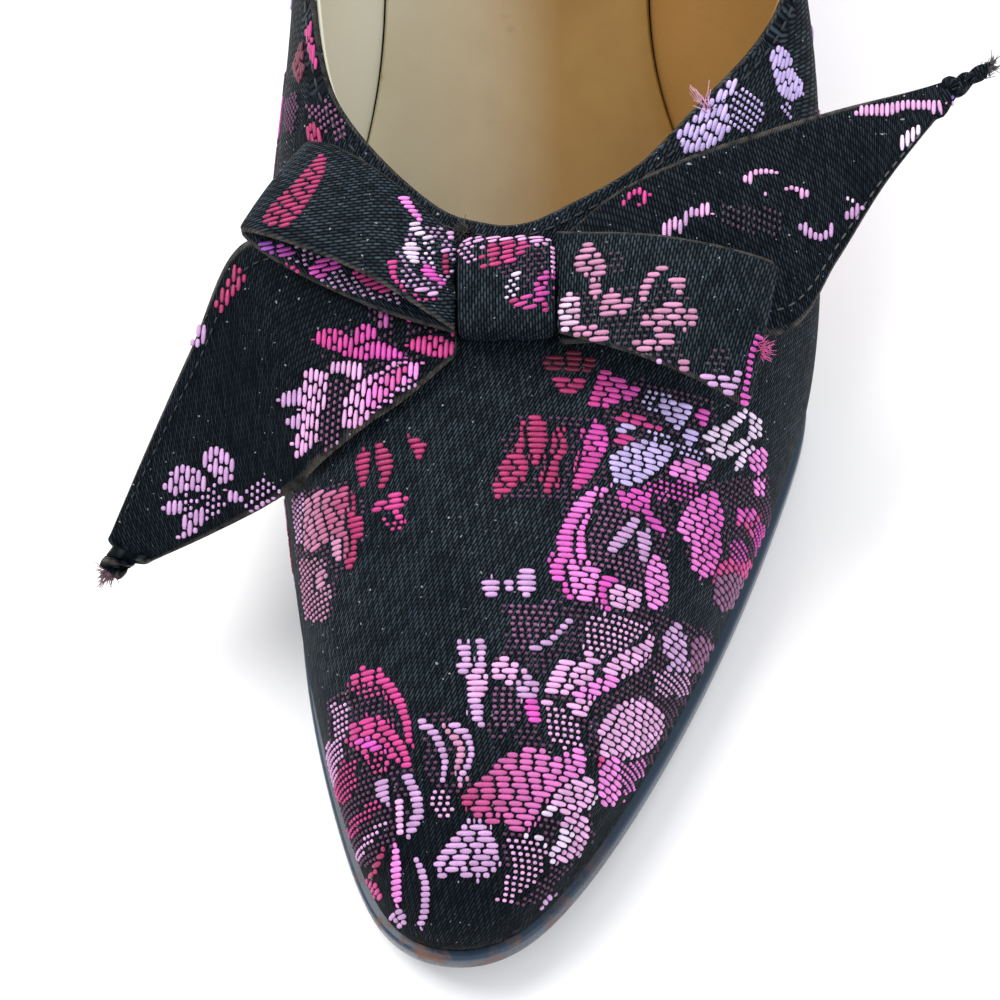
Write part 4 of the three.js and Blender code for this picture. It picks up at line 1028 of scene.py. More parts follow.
QUARTER_CHART = [
    ("dots", "lavender", (736, 84, 762, 96, 764, 120, 748, 136, 730, 128, 726, 104)),
    ("bars", "lavender", (679, 120, 694, 102, 705, 96, 722, 84, 736, 76, 740, 85, 727, 100, 729, 114,
     730, 130, 716, 146, 700, 153, 684, 155, 679, 145, 675, 131)),
    ("bars", "lavender", (768, 53, 781, 43, 791, 54, 793, 69, 802, 80, 803, 96, 790, 103, 779, 96,
     774, 80)),
    ("dots", "lavender", (778, 100, 792, 104, 792, 122, 780, 118)),
    # Petals of the inner quarter by the topline, which lies in shade, take darker silks than the same flowers
    # elsewhere: painted shade.
    ("bars", "wine", (291, 60, 295, 44, 303, 40, 305, 70, 300, 86, 295, 78)),
    ("bars", "rose", (300, -10, 309, -10, 313, 30, 320, 60, 317, 73, 310, 60, 305, 30)),
    ("dots", "shade", (286, 100, 296, 88, 299, 110, 292, 138, 284, 130)),
    ("dots", "mauve", (304, 104, 322, 104, 328, 136, 314, 136)),
    ("bars", "ruby", (307, 125, 315, 119, 321, 135, 323, 146, 311, 153, 307, 140)),
    ("dots", "mauve", (325, 98, 333, 104, 346, 126, 346, 144, 334, 142, 328, 122)),
]

# How finely the upper is cut: rays round the last and steps up the wall
RAYS = 360
WALL_STEPS = 46
FRONT_REACH = 92  # rays on each side of the tip whose cloth is cut as one with the vamp
FRONT_FLOATS = 90  # rays on each side of the tip where the weft runs as on the vamp
TOPLINE_FLOATS = 64  # rays on each side from which the cloth beside the topline is seen to run with it
TOPLINE_FLOATS_END = 102
LEVEL_STEP = 0.5
RAY_HEIGHTS = np.linspace(0, 1, WALL_STEPS + 1)


def ray_positions(indices):
    return np.asarray(indices) * SECTION_COUNT / RAYS


def wall_grid(indices):
    """Points of the outer face on some rays, from the feather line up, and the directions out of it."""
    return cloth_point(ray_positions(indices)[:, None], RAY_HEIGHTS[None, :])


def front_cloth():
    """Where the front of the upper lies in the flat cloth: across from the crest, and up from the tip."""
    indices = np.arange(FRONT_REACH, -FRONT_REACH - 1, -1)
    points, out = wall_grid(indices)
    along = np.maximum.accumulate(points[..., 1] + TREAD_MIDDLE, axis=1)
    crest = points[FRONT_REACH]
    crest_along = along[FRONT_REACH]
    crest_arc = arc_lengths(crest)
    last_arc = crest_arc[-1] + along.max() - crest_along[-1]
    up = np.interp(along, [*crest_along, along.max()], [*crest_arc, last_arc])
    across = np.zeros_like(up)
    levels = np.arange(LEVEL_STEP, along.max(), LEVEL_STEP)
    for side in (1, -1):
        rays = FRONT_REACH - side * np.arange(FRONT_REACH + 1)
        reached = np.full((len(rays), len(levels)), np.nan)
        for k, level in enumerate(levels):
            below = (along[rays] < level).sum(axis=1)
            crossed = np.flatnonzero((below > 0) & (below <= WALL_STEPS))
            if len(crossed) < 2:
                continue
            j = below[crossed]
            a, b = along[rays[crossed], j - 1], along[rays[crossed], j]
            share = ((level - a) / np.maximum(b - a, 1e-6))[:, None]
            path = mix(points[rays[crossed], j - 1], points[rays[crossed], j], share)
            if crossed[0] == 0:
                reached[crossed, k] = arc_lengths(path)
                continue
            top = [np.interp(level, along[rays, -1], points[rays, -1, axis]) for axis in range(3)]
            start = abs(top[0] - crest[-1, 0])
            reached[crossed, k] = start + arc_lengths(np.concatenate([[top], path]))[1:]
        for ray, row in zip(rays, reached):
            known = ~np.isnan(row)
            if known.any():
                across[ray] = -side * np.interp(along[ray], levels[known], row[known])
    return indices, points, out, np.stack([across, up], axis=-1)


def quarter_cloth(front_edge, indices):
    """Where a quarter lies in the flat cloth: down from the topline, and back along it."""
    points, out = wall_grid(indices)
    down = lengths_across(points[:, ::-1])[:, ::-1]
    back = arc_lengths(points)
    side = np.sign(front_edge[-1, 0])
    across = front_edge[:, 0] + side * (down - down[0])
    return indices, points, out, np.stack([across, front_edge[:, 1] + back], axis=-1)


FRONT = front_cloth()
MEDIAL = quarter_cloth(FRONT[3][0], np.arange(FRONT_REACH, RAYS // 2 + 1))
LATERAL = quarter_cloth(FRONT[3][-1], np.arange(-FRONT_REACH, -RAYS // 2 - 1, -1))
PANELS = ((FRONT, VAMP_TWILL), (MEDIAL, -QUARTER_TWILL), (LATERAL, QUARTER_TWILL))


def turned(uv, degrees):
    """Turns places in the flat cloth about its origin."""
    cosine, sine = math.cos(math.radians(degrees)), math.sin(math.radians(degrees))
    u, v = uv[..., 0], uv[..., 1]
    return np.stack([u * cosine - v * sine, u * sine + v * cosine], axis=-1)


def deeper_shade(rows):
    """How dark the ground is painted: painted shade, darker towards the toe and on the inner quarter beside
    the bow.
    """
    across, along = rows[..., 0], rows[..., 1]
    toe = smooth((-38 - along) / 24)
    medial = smooth((-20 - across) / 10) * smooth((along + 14) / 20) * smooth((110 - along) / 40)
    return 0.12 + 0.6 * toe + 0.45 * medial


def wall_shell(name, start, thickness, rim_drop, finish, hem):
    """A closed layer of the wall: up its outer face, over a rolled rim and down its inner face."""
    tuck_drop = np.array([0, 0, -0.26])
    points, out = wall_grid(np.arange(RAYS))
    up = unit(points[:, -1] - points[:, -2])[:, None]
    outer = points - out * start
    outer[:, -1] -= up[:, 0] * rim_drop
    inner_steps = np.append(np.arange(WALL_STEPS, 0, -3), 0)
    inner = points[:, inner_steps] - out[:, inner_steps] * (start + thickness)
    inner[:, 0] -= up[:, 0] * rim_drop
    radius = thickness / 2
    turns = np.linspace(0, np.pi, 8)[1:-1]
    rim = outer[:, -1:] - out[:, -1:] * (radius * (1 - np.cos(turns)))[None, :, None]
    rim = rim + up * (radius * np.sin(turns))[None, :, None]
    tuck = outer[:, :1] - out[:, :1] * hem + tuck_drop
    rows = np.concatenate([tuck, outer, rim, inner, inner[:, -1:] + tuck_drop], axis=1)
    per_ray = rows.shape[1]
    faces = grid_faces(RAYS, per_ray, close_rows=True, close_columns=True)
    source = np.concatenate([
        [0], np.arange(WALL_STEPS + 1), np.full(len(turns), WALL_STEPS), inner_steps, [0],
    ])
    shift = np.concatenate([
        [-0.3], np.zeros(WALL_STEPS + 1), np.linspace(0.2, 1.4, len(turns)),
        np.full(len(inner_steps), 1.6), [1.9],
    ])
    following = np.roll(np.arange(per_ray), -1)
    corner_uv = np.zeros((len(faces), 4, 2))
    for (panel_indices, _, _, uv), twill in PANELS:
        cut = turned(uv[:, source] + shift[None, :, None], twill)
        for k in range(len(panel_indices) - 1):
            near, far = (k, k + 1) if panel_indices[k + 1] > panel_indices[k] else (k + 1, k)
            ray = panel_indices[near] % RAYS
            block = slice(ray * per_ray, (ray + 1) * per_ray)
            corner_uv[block, 0] = cut[near]
            corner_uv[block, 1] = cut[far]
            corner_uv[block, 2] = cut[far][following]
            corner_uv[block, 3] = cut[near][following]
    wear = np.zeros((RAYS, per_ray))
    wear[:, WALL_STEPS + 2:WALL_STEPS + 2 + len(turns)] = 0.35
    wear[:, :3] = 0.2
    painted_shade = deeper_shade(rows)
    return new_piece(name, rows, faces, finish, corner_uv=corner_uv, wear=wear, painted_shade=painted_shade)


upper_cloth = wall_shell("upper_cloth", 0, CLOTH_THICKNESS, 0, SATIN, 0.9)
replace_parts(upper_cloth, "upper")
wall_shell("lining", LINING_START, WALL - LINING_START, 0.35, LINING, 0.1)


def weld(piece):
    """Joins the points of a piece that meet at the ends of its outlines."""
    mesh = bmesh.new()
    mesh.from_mesh(piece.data)
    bmesh.ops.remove_doubles(mesh, verts=mesh.verts, dist=WELD_DISTANCE)
    mesh.to_mesh(piece.data)
    mesh.free()


# Sole, sock, heel and lift. Each edge is given from the top: how far down or in, and how far in or up.
SOLE_EDGE = (
    (0, 0.5), (0.03, 0.24), (0.09, 0.07), (0.18, 0), (0.5, -0.05),
    (0.78, 0), (0.88, 0.1), (0.95, 0.3), (1, 0.6),
)
SOCK_EDGE = ((3.0, 1.0), (0.35, 1.0), (0.1, 0.96), (0.0, 0.9), (0.0, 0.8), (-0.2, 0.76), (-0.2, 0.0))
SOCK_FIT = 0.14  # gap beside the wall at the sock, which reaches a little past the board below it
LIFT_EDGE = ((0, 0.35), (0.08, 0.1), (0.2, 0), (0.85, 0), (1, 0.3))
WELD_DISTANCE = 2e-6


def plan_outline(outset_at, count=1440):
    """Plan outline of the feather line, moved outwards, as inner and outer sides from toe to heel."""
    positions = np.arange(count) * SECTION_COUNT / count
    points = feather_point(positions)
    along = points[:, 1] + TREAD_MIDDLE
    points = points + outwards(feather_point, positions) * outset_at(along)[:, None]
    across, along = points[:, 0], points[:, 1] + TREAD_MIDDLE
    tip, back = int(along.argmin()), int(along.argmax())
    medial = np.arange(tip, back + (count if back < tip else 0) + 1) % count
    lateral = np.arange(tip + count, back, -1) % count if back < tip + count else np.array([tip])
    lateral = np.concatenate([lateral, [back]])
    sides = [(along[walk], across[walk]) for walk in (medial, lateral)]
    return sides, (along[tip], across[tip]), (along[back], across[back])


def stations(outline, places):
    """Inner and outer points of an outline at places along the shoe."""
    (medial, lateral), tip, back = outline
    held = np.clip(places, tip[0], back[0])
    inner = np.interp(held, np.maximum.accumulate(medial[0]), medial[1])
    outer = np.interp(held, np.maximum.accumulate(lateral[0]), lateral[1])
    for end_along, across in (tip, back):
        at_end = np.abs(held - end_along) < 1e-6
        inner = np.where(at_end, across, inner)
        outer = np.where(at_end, across, outer)
    return held, inner, outer


def stacked(name, rings, finish, columns=7):
    """A closed piece from outlines stacked on each other, its ends covered by strips across."""
    loops = []
    width = columns - 2
    shares = np.linspace(0, 1, columns)[1:-1, None]
    for along, inner, outer, height in rings:
        near = place(inner, along, height)
        far = place(outer, along, height)
        ends = mix(near[-1], far[-1], shares), mix(far[0], near[0], shares)
        loops.append(np.concatenate([near, ends[0], far[::-1], ends[1]]))
    around = len(loops[0])
    half = around // 2 - width
    points = np.concatenate(loops)
    faces = grid_faces(len(loops), around, close_columns=True)
    for ring, flip in ((0, True), (len(loops) - 1, False)):
        base = ring * around
        near, far = loops[ring][1:half - 1], loops[ring][half + width:around - width][::-1][1:-1]
        inside = mix(near[:, None], far[:, None], shares[None])
        start = len(points)
        points = np.concatenate([points, inside.reshape(-1, 3)])

        def corner(k, j):
            if j == 0:
                return base + k
            if j == columns - 1:
                return base + around - width - 1 - k
            if k == half - 1:
                return base + half + j - 1
            return base + around - j if k == 0 else start + (k - 1) * width + j - 1

        for k in range(half - 1):
            for j in range(columns - 1):
                face = (corner(k, j), corner(k, j + 1), corner(k + 1, j + 1), corner(k + 1, j))
                faces.append(face[::-1] if flip else face)
    return new_piece(name, points, faces, finish)


def spread(start, end, count, power):
    return start + (end - start) * (np.linspace(0, 1, count + 1) ** power)


def make_sole():
    """The sole, its painted edge rounded above and below."""
    def ledge(along):
        waist = smooth((along - TREAD_END) / (LAST_LENGTH - TREAD_END) * 3)
        return mix(SOLE_LEDGE, WAIST_LEDGE, waist)

    rings = []
    for depth, inset in SOLE_EDGE:
        outline = plan_outline(lambda along: ledge(along) - inset)
        along, inner, outer = stations(outline, spread(outline[1][0], BREAST - GAP, 150, 1.6))
        height = feather_height(along) - 0.05 - depth * (SOLE_THICKNESS + GAP - 0.05)
        rings.append((along, inner, outer, height))
    sole = stacked("painted_sole", rings, SOLE)
    weld(sole)
    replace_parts(sole, "outsole")


make_sole()


def make_sock():
    """The leather sock over the insole board, its edge turned down beside the wall."""
    half = spread(0, 0.5, 60, 1.6)
    shares = np.concatenate([half, 1 - half[:-1][::-1]])
    rings = []
    for inset, rise in SOCK_EDGE:
        outline = plan_outline(lambda along: np.full_like(along, -WALL - SOCK_FIT - inset))
        along, inner, outer = stations(outline, mix(outline[1][0], outline[2][0], shares))
        rings.append((along, inner, outer, feather_height(along) + rise * INSOLE_THICKNESS))
    sock = stacked("sock", rings, SOCK)
    weld(sock)
    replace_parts(sock, "insole")


make_sock()

# Heel, from the seat down: share of the drop, and share of the way from seat to tip outline
HEEL_SECTIONS = np.array([
    [0, 0], [0.06, 0.1], [0.16, 0.34], [0.3, 0.58], [0.48, 0.78], [0.7, 0.92], [1, 1],
])
HEEL_RINGS = 40


def tip_stations(shares):
    roundness = 2.6
    half = (TIP_WIDTH / 2) * (1 - shares ** roundness) ** (1 / roundness)
    return LAST_LENGTH - TIP_SETBACK - TIP_LENGTH + shares * TIP_LENGTH, -half, half


def heel_shares():
    return 1 - spread(0, 1, 48, 1.8)[::-1]


def heel_rings():
    """Outlines of the heel from its seat down to its tip."""
    outline = plan_outline(lambda along: np.full_like(along, WAIST_LEDGE))
    shares = heel_shares()
    seat = stations(outline, mix(BREAST, outline[2][0], shares))
    tip = tip_stations(shares)
    drops = np.linspace(0, 1, HEEL_RINGS)
    tapers = np.interp(drops, HEEL_SECTIONS[:, 0], HEEL_SECTIONS[:, 1])
    kernel = np.array([1, 2, 3, 2, 1]) / 9
    tapers[1:-1] = np.convolve(np.pad(tapers, 2, mode="edge"), kernel, mode="valid")[1:-1]
    seat_height, tip_height = feather_height(seat[0]) - 0.1, LIFT_THICKNESS + 0.05
    return [
        [mix(high, low, taper) for high, low in zip(seat, tip)] + [mix(seat_height, tip_height, drop)]
        for drop, taper in zip(drops, tapers)
    ]


def make_heel():
    """The covered heel, whose cloth is wrapped round it."""
    heel = stacked("heel_cover", heel_rings(), SATIN, columns=5)
    wrap_radius = 14
    places = np.array([v.co[:] for v in heel.data.vertices]) / MM
    middle_along = LAST_LENGTH - TREAD_MIDDLE - 22
    around = np.arctan2(places[:, 0], places[:, 1] - middle_along) * wrap_radius
    corners = corner_points(heel.data).reshape(-1, 4)
    cut = turned(np.stack([around, places[:, 2]], axis=-1), QUARTER_TWILL)[corners]
    seam = np.ptp(cut[..., 0], axis=1) > 40
    behind = around[corners[seam]]
    unrolled = np.where(behind < 0, behind + 2 * np.pi * wrap_radius, behind)
    cut[seam] = turned(np.stack([unrolled, places[corners[seam], 2]], axis=-1), QUARTER_TWILL)
    set_weave(heel.data, cut)
    weld(heel)
    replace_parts(heel, "heel")


make_heel()


def make_lift():
    """The rubber lift under the heel."""
    along, inner, outer = tip_stations(heel_shares())
    middle = LAST_LENGTH - TIP_SETBACK - TIP_LENGTH / 2
    rings = []
    for depth, inset in LIFT_EDGE:
        shrink = 1 - inset / (TIP_WIDTH / 2)
        rings.append((
            middle + (along - middle) * shrink, inner * shrink, outer * shrink,
            np.full_like(along, LIFT_THICKNESS * (1 - depth)),
        ))
    lift = stacked("rubber_lift", rings, RUBBER, columns=5)
    weld(lift)
    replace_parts(lift, "top_lift")


make_lift()


# The bow
cover_points, _ = wall_grid(np.arange(RAYS))
COVER = BVHTree.FromPolygons(
    cover_points.reshape(-1, 3).tolist(), grid_faces(RAYS, WALL_STEPS + 1, close_rows=True))


def cover_height(across, along):
    """Height of the upper's outer face over a place in plan, or nothing beside the shoe."""
    hit = COVER.ray_cast(Vector((across, along - TREAD_MIDDLE, 300)), Vector((0, 0, -1)))[0]
    return -1e9 if hit is None else hit.z


knot_along = VAMP_LENGTH - KNOT_SETBACK
knot_slope = (cover_height(KNOT_ACROSS, knot_along + 2) - cover_height(KNOT_ACROSS, knot_along - 2)) / 4
BOW_SEAT = np.array([KNOT_ACROSS, knot_along - TREAD_MIDDLE, cover_height(KNOT_ACROSS, knot_along)])
BOW_UP = unit(np.array([0, 1, knot_slope]))
BOW_OUT = np.cross([1, 0, 0], BOW_UP)
BOW_AXES = np.array([[1, 0, 0], BOW_UP, BOW_OUT])


def bow_point(local):
    return BOW_SEAT + np.asarray(local) @ BOW_AXES


def bow_local(points):
    return (points - BOW_SEAT) @ BOW_AXES.T


def drape(points, clear):
    """Lifts points that would come too near the vamp."""
    flat = points.reshape(-1, 3)
    for point in flat:
        point[2] = max(point[2], cover_height(point[0], point[1] + TREAD_MIDDLE) + clear)
    return flat.reshape(points.shape)


def centripetal_curve(points, shares):
    """Points at even shares of a smooth curve through its control points."""
    count = len(points)
    made = []
    for share in shares:
        spot = (count - 1) * share
        k = min(int(math.floor(spot)), count - 2)
        t = spot - k
        a = points[k - 1] if k > 0 else 2 * points[0] - points[1]
        b, c = points[k], points[k + 1]
        d = points[k + 2] if k + 2 < count else 2 * points[-1] - points[-2]
        spans = [max(np.sum((q - p) ** 2) ** 0.25, 1e-4) for p, q in ((a, b), (b, c), (c, d))]
        leaving = (b - a) / spans[0] - (c - a) / (spans[0] + spans[1]) + (c - b) / spans[1]
        arriving = (c - b) / spans[1] - (d - b) / (spans[1] + spans[2]) + (d - c) / spans[2]
        leaving, arriving = leaving * spans[1], arriving * spans[1]
        cube = 2 * b - 2 * c + leaving + arriving
        square = -3 * b + 3 * c - 2 * leaving - arriving
        made.append(b + leaving * t + square * t * t + cube * t ** 3)
    return np.array(made)


def strip_middle(rows, steps, columns, crown, clear, pleats):
    """Middle surface of a folded strip between its two edges, kept clear of the vamp.
    Each pleat is a place across, a width, a height and how far from the knot it fades."""
    shares = np.linspace(0, 1, steps + 1)
    heel_edge = centripetal_curve(bow_point(rows[:, :3] * BOW_SPAN), shares)
    toe_edge = centripetal_curve(bow_point(rows[:, 3:] * BOW_SPAN), shares)
    width_shares = np.linspace(0, 1, columns + 1)
    grid = heel_edge[:, None] + (toe_edge - heel_edge)[:, None] * width_shares[None, :, None]
    bulge = crown * 4 * width_shares * (1 - width_shares)
    grid = grid + BOW_OUT * (np.sin(np.pi * shares)[:, None] * bulge[None])[..., None]
    grid = drape(grid, clear)
    normals = grid_normals(grid)
    normals = normals * np.sign(normals @ BOW_OUT)[..., None]
    comes_back = abs(rows[-1, 0]) < 0.1
    reach = np.minimum(shares, 1 - shares) if comes_back else shares
    for across, width, height, fade in pleats:
        away = np.exp(-(reach / fade) ** 2)
        ridge = np.exp(-((width_shares - across) / width) ** 2)
        grid = grid + normals * (height * away[:, None] * ridge[None])[..., None]
    return grid


def grid_normals(grid):
    along = np.gradient(grid, axis=0)
    across = np.gradient(grid, axis=1)
    return unit(np.cross(along, across))


def strip_faces(grid, hem=0.12):
    """Top and bottom of a folded strip: full along the middle, round at its two turned edges."""
    normals = grid_normals(grid)
    across = np.abs(np.linspace(-1, 1, grid.shape[1]))
    swell = 1 + hem * np.exp(-((across - 0.9) / 0.06) ** 2)
    profile = np.sqrt(np.maximum(0, 1 - across ** 14)) * swell
    half = (RIBBON_THICKNESS / 2 * profile)[None, :, None] * normals
    return grid + half, grid - half


def with_ends(values, first, last):
    """Adds the values of the two tips of a tube to those of its rings."""
    rings = np.asarray(values)
    return np.concatenate([[first], rings.reshape(-1, *np.shape(first)), [last]])


def strip_piece(name, grid, weave_turn, painted_shade):
    """A closed ribbon round the middle surface of a strip."""
    top, bottom = strip_faces(grid)
    steps, columns = grid.shape[:2]
    points = np.concatenate([top, bottom[:, ::-1][:, 1:-1]], axis=1)
    flat = with_ends(points, points[0].mean(axis=0), points[-1].mean(axis=0))
    uv = strip_cloth(grid)
    uv = np.concatenate([uv, uv[:, ::-1][:, 1:-1] + [0, 0.7]], axis=1)
    uv = with_ends(uv, uv[0].mean(axis=0), uv[-1].mean(axis=0))
    edge = np.abs(np.linspace(-1, 1, columns)) > 0.985
    wear = np.concatenate([edge, edge[::-1][1:-1]])[None].repeat(steps, axis=0) * 0.9
    faces = tube_faces(steps, points.shape[1])
    return new_piece(
        name, flat, faces, SATIN, uv=turned(uv, weave_turn), wear=with_ends(wear, 0, 0), painted_shade=painted_shade,
    )


def strip_cloth(grid):
    """Where each point of a strip lies in the flat cloth: across it, and along it."""
    across = lengths_across(grid)
    along = arc_lengths(grid.mean(axis=1))
    return np.stack([across, np.broadcast_to(along[:, None], across.shape)], axis=-1)


TAIL_CLEAR = GAP + RIBBON_THICKNESS
LOOP_CLEAR = TAIL_CLEAR + GAP + RIBBON_THICKNESS
loop_medial_grid = strip_middle(LOOP_MEDIAL, 110, 26, 1.2, LOOP_CLEAR, (
    (0.3, 0.08, 0.5, 0.13), (0.55, 0.09, -0.45, 0.15), (0.78, 0.08, 0.45, 0.12)))
loop_lateral_grid = strip_middle(LOOP_LATERAL, 110, 26, 1.2, LOOP_CLEAR, (
    (0.25, 0.08, 0.3, 0.1), (0.6, 0.1, -0.35, 0.12)))
tail_medial_grid = strip_middle(TAIL_MEDIAL, 90, 26, 0.8, TAIL_CLEAR, (
    (0.35, 0.07, 0.5, 0.25), (0.6, 0.08, -0.4, 0.3)))
tail_lateral_grid = strip_middle(TAIL_LATERAL, 90, 26, 0.8, TAIL_CLEAR, (
    (0.42, 0.08, 0.6, 0.3), (0.68, 0.08, -0.5, 0.3)))


def with_tip(grid, tip, reach, end_width):
    """Gathers the end of a tail into its twisted tip."""
    end = bow_point(np.array(tip) * BOW_SPAN)
    last = grid[-1]
    middle = last[len(last) // 2]
    shares = np.linspace(0, 1, 25)[1:]
    gathered = []
    for share in shares:
        narrow = mix(1, end_width, smooth(share / 0.5))
        wave = np.sin(np.linspace(0, 5 * np.pi, len(last))) * 0.6 * np.sin(np.pi * min(1, share * 1.4))
        turn = 2.2 * np.pi * smooth(share)
        flat = (last - middle) * narrow
        twisted = flat * math.cos(turn) + np.cross(unit(end - middle), flat) * math.sin(turn)
        gathered.append(mix(middle, end, share * reach) + twisted + BOW_OUT * wave[:, None])
    return np.concatenate([grid, gathered])


tail_medial_grid = with_tip(tail_medial_grid, TIP_MEDIAL, 0.6, 0.55)
tail_lateral_grid = with_tip(tail_lateral_grid, TIP_LATERAL, 0.93, 0.42)

LOOP_MEDIAL_TURN = 32
LOOP_LATERAL_TURN = 96
TAIL_MEDIAL_TURN = 60
TAIL_LATERAL_TURN = 80
# Each strip: its middle surface, the turn of its weave, how much painted shade darkens its ground, and the
# part it stands for.
STRIPS = {
    "loop_medial_cloth": (loop_medial_grid, LOOP_MEDIAL_TURN, 0, "bow_loop_medial"),
    "loop_lateral_cloth": (loop_lateral_grid, LOOP_LATERAL_TURN, 0, "bow_loop_lateral"),
    "tail_medial_cloth": (tail_medial_grid, TAIL_MEDIAL_TURN, 0.72, "bow_tail_medial"),
    "tail_lateral_cloth": (tail_lateral_grid, TAIL_LATERAL_TURN, 0.5, "bow_tail_lateral"),
}
for strip_name, (strip_grid, strip_turn, strip_painted_shade, strip_node) in STRIPS.items():
    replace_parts(strip_piece(strip_name, strip_grid, strip_turn, strip_painted_shade), strip_node)

# Folds of the knot, which run from its toe side to its heel side: place across, width and height
KNOT_FOLDS = (
    (-0.36, 0.07, -0.5), (-0.2, 0.09, 0.35), (0.02, 0.1, -0.3), (0.22, 0.08, 0.3), (0.4, 0.05, -0.45),
)


def knot_grid():
    """The knot's band from its inner to its outer side, each ring starting under its heel side."""
    shares = np.linspace(0, 1, 49)
    angles = np.linspace(0, 2 * np.pi, 73)[:-1]
    squareness = 0.7
    ends = np.abs(2 * shares - 1)
    swell = (1 - 0.12 * ends ** 4)[:, None]
    cosine, sine = np.cos(angles)[None], np.sin(angles)[None]
    folds = [height * np.exp(-((shares - 0.5 - at) / width) ** 2) for at, width, height in KNOT_FOLDS]
    fold = sum(folds)[:, None]
    round_end = np.sqrt(np.maximum(0, 1 - ((ends - 0.9) / 0.1).clip(0) ** 2))[:, None]
    up = KNOT_LENGTH / 2 * swell * np.sign(cosine) * np.abs(cosine) ** squareness
    rise = np.sign(sine) * np.abs(sine) ** squareness
    lift = KNOT_HEIGHT / 2 * (1 + swell * rise * mix(0.72, 1, round_end))
    lift = lift + fold * np.maximum(0, sine) * 0.8
    across = (shares[:, None] - 0.5) * KNOT_WIDTH + 0 * cosine
    pinch = 1 - 0.06 * np.cos(2 * angles)[None] * (1 - ends[:, None])
    local = np.stack([across, up * pinch * mix(0.93, 1, round_end), lift], axis=-1)
    return drape(bow_point(local), GAP + 0.1)


def make_knot():
    """The wrapped middle of the bow."""
    grid = knot_grid()
    rings, around = grid.shape[:2]
    along = lengths_across(grid)
    across = np.linspace(0, KNOT_WIDTH, rings)[:, None] + 0 * along
    uv = with_ends(np.stack([across, along], axis=-1), [0, 0], [KNOT_WIDTH, 0])
    points = with_ends(grid, grid[0].mean(axis=0), grid[-1].mean(axis=0))
    knot = new_piece("knot_cloth", points, tube_faces(rings, around), SATIN, uv=uv)
    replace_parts(knot, "bow_knot")
    return grid


KNOT_GRID = make_knot()


# Floats of the pattern
def weft_paths(points, out, field, levels, *cloth):
    """Paths of the weft over a grid of points. Each is where the rays cross one level of a field that rises
    along every ray, with the direction out of the cloth and, if known, the place in the flat cloth."""
    stack = np.concatenate([points, out, *cloth], axis=-1)
    field = np.maximum.accumulate(field, axis=1)
    last = field.shape[1] - 1
    for number, level in enumerate(levels):
        below = (field < level).sum(axis=1)
        crossed = (below > 0) & (below <= last)
        for run in np.split(np.arange(len(crossed)), np.flatnonzero(np.diff(crossed.astype(int))) + 1):
            if len(run) < 3 or not crossed[run[0]]:
                continue
            j = below[run]
            a, b = field[run, j - 1], field[run, j]
            share = ((level - a) / np.maximum(b - a, 1e-6))[:, None]
            yield number, mix(stack[run, j - 1], stack[run, j], share)


def inside_outline(places, outline):
    """Which places lie inside an outline given as x, y, x, y and so on."""
    corners = np.array(outline, float).reshape(-1, 2)
    low, high = corners.min(axis=0), corners.max(axis=0)
    near = ((places >= low) & (places <= high)).all(axis=1)
    found = np.zeros(len(places), bool)
    if not near.any():
        return found
    x, y = places[near, 0], places[near, 1]
    odd = np.zeros(len(x), bool)
    for (ax, ay), (bx, by) in zip(corners, np.roll(corners, -1, axis=0)):
        if ay == by:
            continue
        odd ^= ((ay > y) != (by > y)) & (x < (bx - ax) * (y - ay) / (by - ay) + ax)
    found[near] = odd
    return found


def silk_colour(silk, outline, at):
    """Linear colour of a silk. Two silks run into each other from left to right."""
    if isinstance(silk, str):
        return tint(SILKS[silk])
    left, right = (tint(SILKS[name]) for name in silk)
    xs = outline[::2]
    return mix(left, right, float(np.clip((at - min(xs)) / (max(xs) - min(xs)), 0, 1)))


